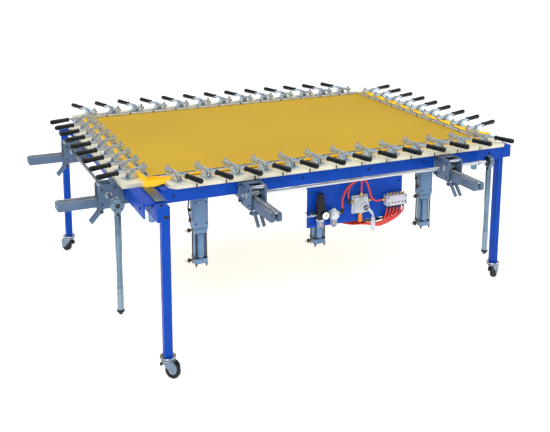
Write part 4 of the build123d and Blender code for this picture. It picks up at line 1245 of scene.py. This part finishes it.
def build_cloth():
    across, along = steps(-HALF_X + EDGE, HALF_X + TAIL, 120), steps(-HALF_Y + EDGE, HALF_Y + TAIL, 90)
    middle = sheet("mesh_middle", across, along, sheet_point)
    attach(middle, "root")
    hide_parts("mesh_sheet")
    across, along = steps(-HALF_X - TAIL * 0.4, HALF_X + TAIL, 150), steps(-HALF_Y - TAIL, -HALF_Y + EDGE, 24)
    front = sheet("mesh_front_edge", across, along, sheet_point)
    across, along = steps(-HALF_X - TAIL, -HALF_X + EDGE, 24), steps(-HALF_Y + 6, HALF_Y + TAIL, 120)
    left = sheet("mesh_left_edge", across, along, left_edge_point)
    for made, body, out, half in ((front, "front_beam", -Y, HALF_Y), (left, "left_beam", -X, HALF_X)):
        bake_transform(made)
    for flap in (
        ("flap_front_left", (-1002, -600, 852), (-978, -742, 849), (-800, -730, 852), 20, 14),
        ("flap_front_right", (850, -729, 851), (985, -732, 848), (1002, -610, 851), 24, 8),
        ("flap_rear_left", (-900, 729, 851), (-990, 729, 848), (-1002, 620, 851), 24, 8),
        ("flap_front_right_tail", (1006, -560, 858), (1082, -628, 858), (1010, -650, 858), 8, 8),
        ("flap_rear_right", (1002, 600, 852), (990, 729, 849), (900, 731, 852), 14, 12),
    ):
        corner_flap(*flap)


# ---- stage, light and camera

FLOOR_HALF = 30.0
LIGHTS_AIM = Vector((0, 0, 0.6))
CAMERA_SPOT = Vector((-1.965, -4.4978, 2.0934))
CAMERA_YAW, CAMERA_PITCH, CAMERA_ROLL = 24.986, 11.312, 0.345
FOCAL = 56.74
SHIFT_X, SHIFT_Y = -0.0238, -0.2309


def build_stage():
    floor = bpy.data.meshes.new("floor")
    corners = [(x * FLOOR_HALF, y * FLOOR_HALF, 0) for x, y in ((-1, -1), (1, -1), (1, 1), (-1, 1))]
    floor.from_pydata(corners, [], [(0, 1, 2, 3)])
    f = Finish("studio_floor")
    f.set(
        Base_Color=f.ramp(f.noise(2, 3.0), [(0.3, (0.86, 0.86, 0.86)), (0.7, (0.89, 0.89, 0.89))]),
        Roughness=0.7,
        Emission_Color=(1.0, 1.0, 1.0),
        Emission_Strength=0.62,
    )
    floor.materials.append(f.material)
    add_object("floor", floor)
    world = bpy.data.worlds.new("studio")
    world.use_nodes = True
    tree = world.node_tree
    sky = tree.nodes["Background"]
    sky.inputs["Color"].default_value = (1, 1, 1, 1)
    rays = tree.nodes.new("ShaderNodeLightPath")
    level = tree.nodes.new("ShaderNodeMapRange")
    level.inputs["To Min"].default_value = 0.50
    tree.links.new(rays.outputs["Is Camera Ray"], level.inputs["Value"])
    tree.links.new(level.outputs["Result"], sky.inputs["Strength"])
    bpy.context.scene.world = world
    bpy.context.scene.view_settings.view_transform = "Standard"
    for name, spot, size, power in (
        ("key", (-3.5, -4.5, 5.0), 3.0, 200),
        ("fill", (4.5, -3.0, 3.5), 3.0, 50),
        ("top", (0.5, 2.0, 5.5), 4.0, 100),
    ):
        light = bpy.data.lights.new(name, "AREA")
        light.size = size
        light.energy = power
        lamp = add_object(name, light)
        lamp.location = spot
        lamp.rotation_euler = (LIGHTS_AIM - Vector(spot)).to_track_quat("-Z", "Y").to_euler()


def build_camera():
    """The photograph's view. It is a crop, so the lens is shifted; the shift counts only from this spot."""
    data = bpy.data.cameras.new("camera")
    camera = add_object("camera", data)
    yaw, pitch, roll = (math.radians(a) for a in (CAMERA_YAW, CAMERA_PITCH, CAMERA_ROLL))
    ahead = round_way(pitch, round_way(yaw, Y, X), -UP)
    right = round_way(yaw, X, -Y)
    above = right.cross(ahead)
    x, y = round_way(roll, right, above), round_way(roll, above, -right)
    camera.matrix_world = Matrix.Translation(CAMERA_SPOT) @ Matrix((x, y, -ahead)).transposed().to_4x4()
    data.lens = FOCAL
    data.sensor_width = 36
    data.clip_end = 100
    bpy.context.scene.camera = camera
    for path, amount in (("shift_x", SHIFT_X), ("shift_y", SHIFT_Y)):
        driver = data.driver_add(path).driver
        driver.type = "SCRIPTED"
        place = driver.variables.new()
        place.name = "x"
        place.type = "TRANSFORMS"
        place.targets[0].id = camera
        place.targets[0].transform_type = "LOC_X"
        driver.expression = f"{amount} if abs(x - {CAMERA_SPOT.x}) < 0.0001 else 0.0"


build_clamps()
build_plate_gap_shade()
build_drives()
build_cylinders()
build_air()
build_casters()
build_fittings()
build_cloth()
for nodes, key, bevel in (
    (("legs", "air_panel"), "blue", 0.8),
    (("base_rails",), "blue", 2.0),
    (("front_beam", "left_beam", "fixed_beams"), "blue", 1.5),
    (("front_plates", "left_plates", "fixed_plates"), "cream", 1.0),
    (("cylinder_brackets",), "grey", 1.5),
):
    for node in nodes:
        finish_cad(node, key, bevel)
build_stage()
build_camera()
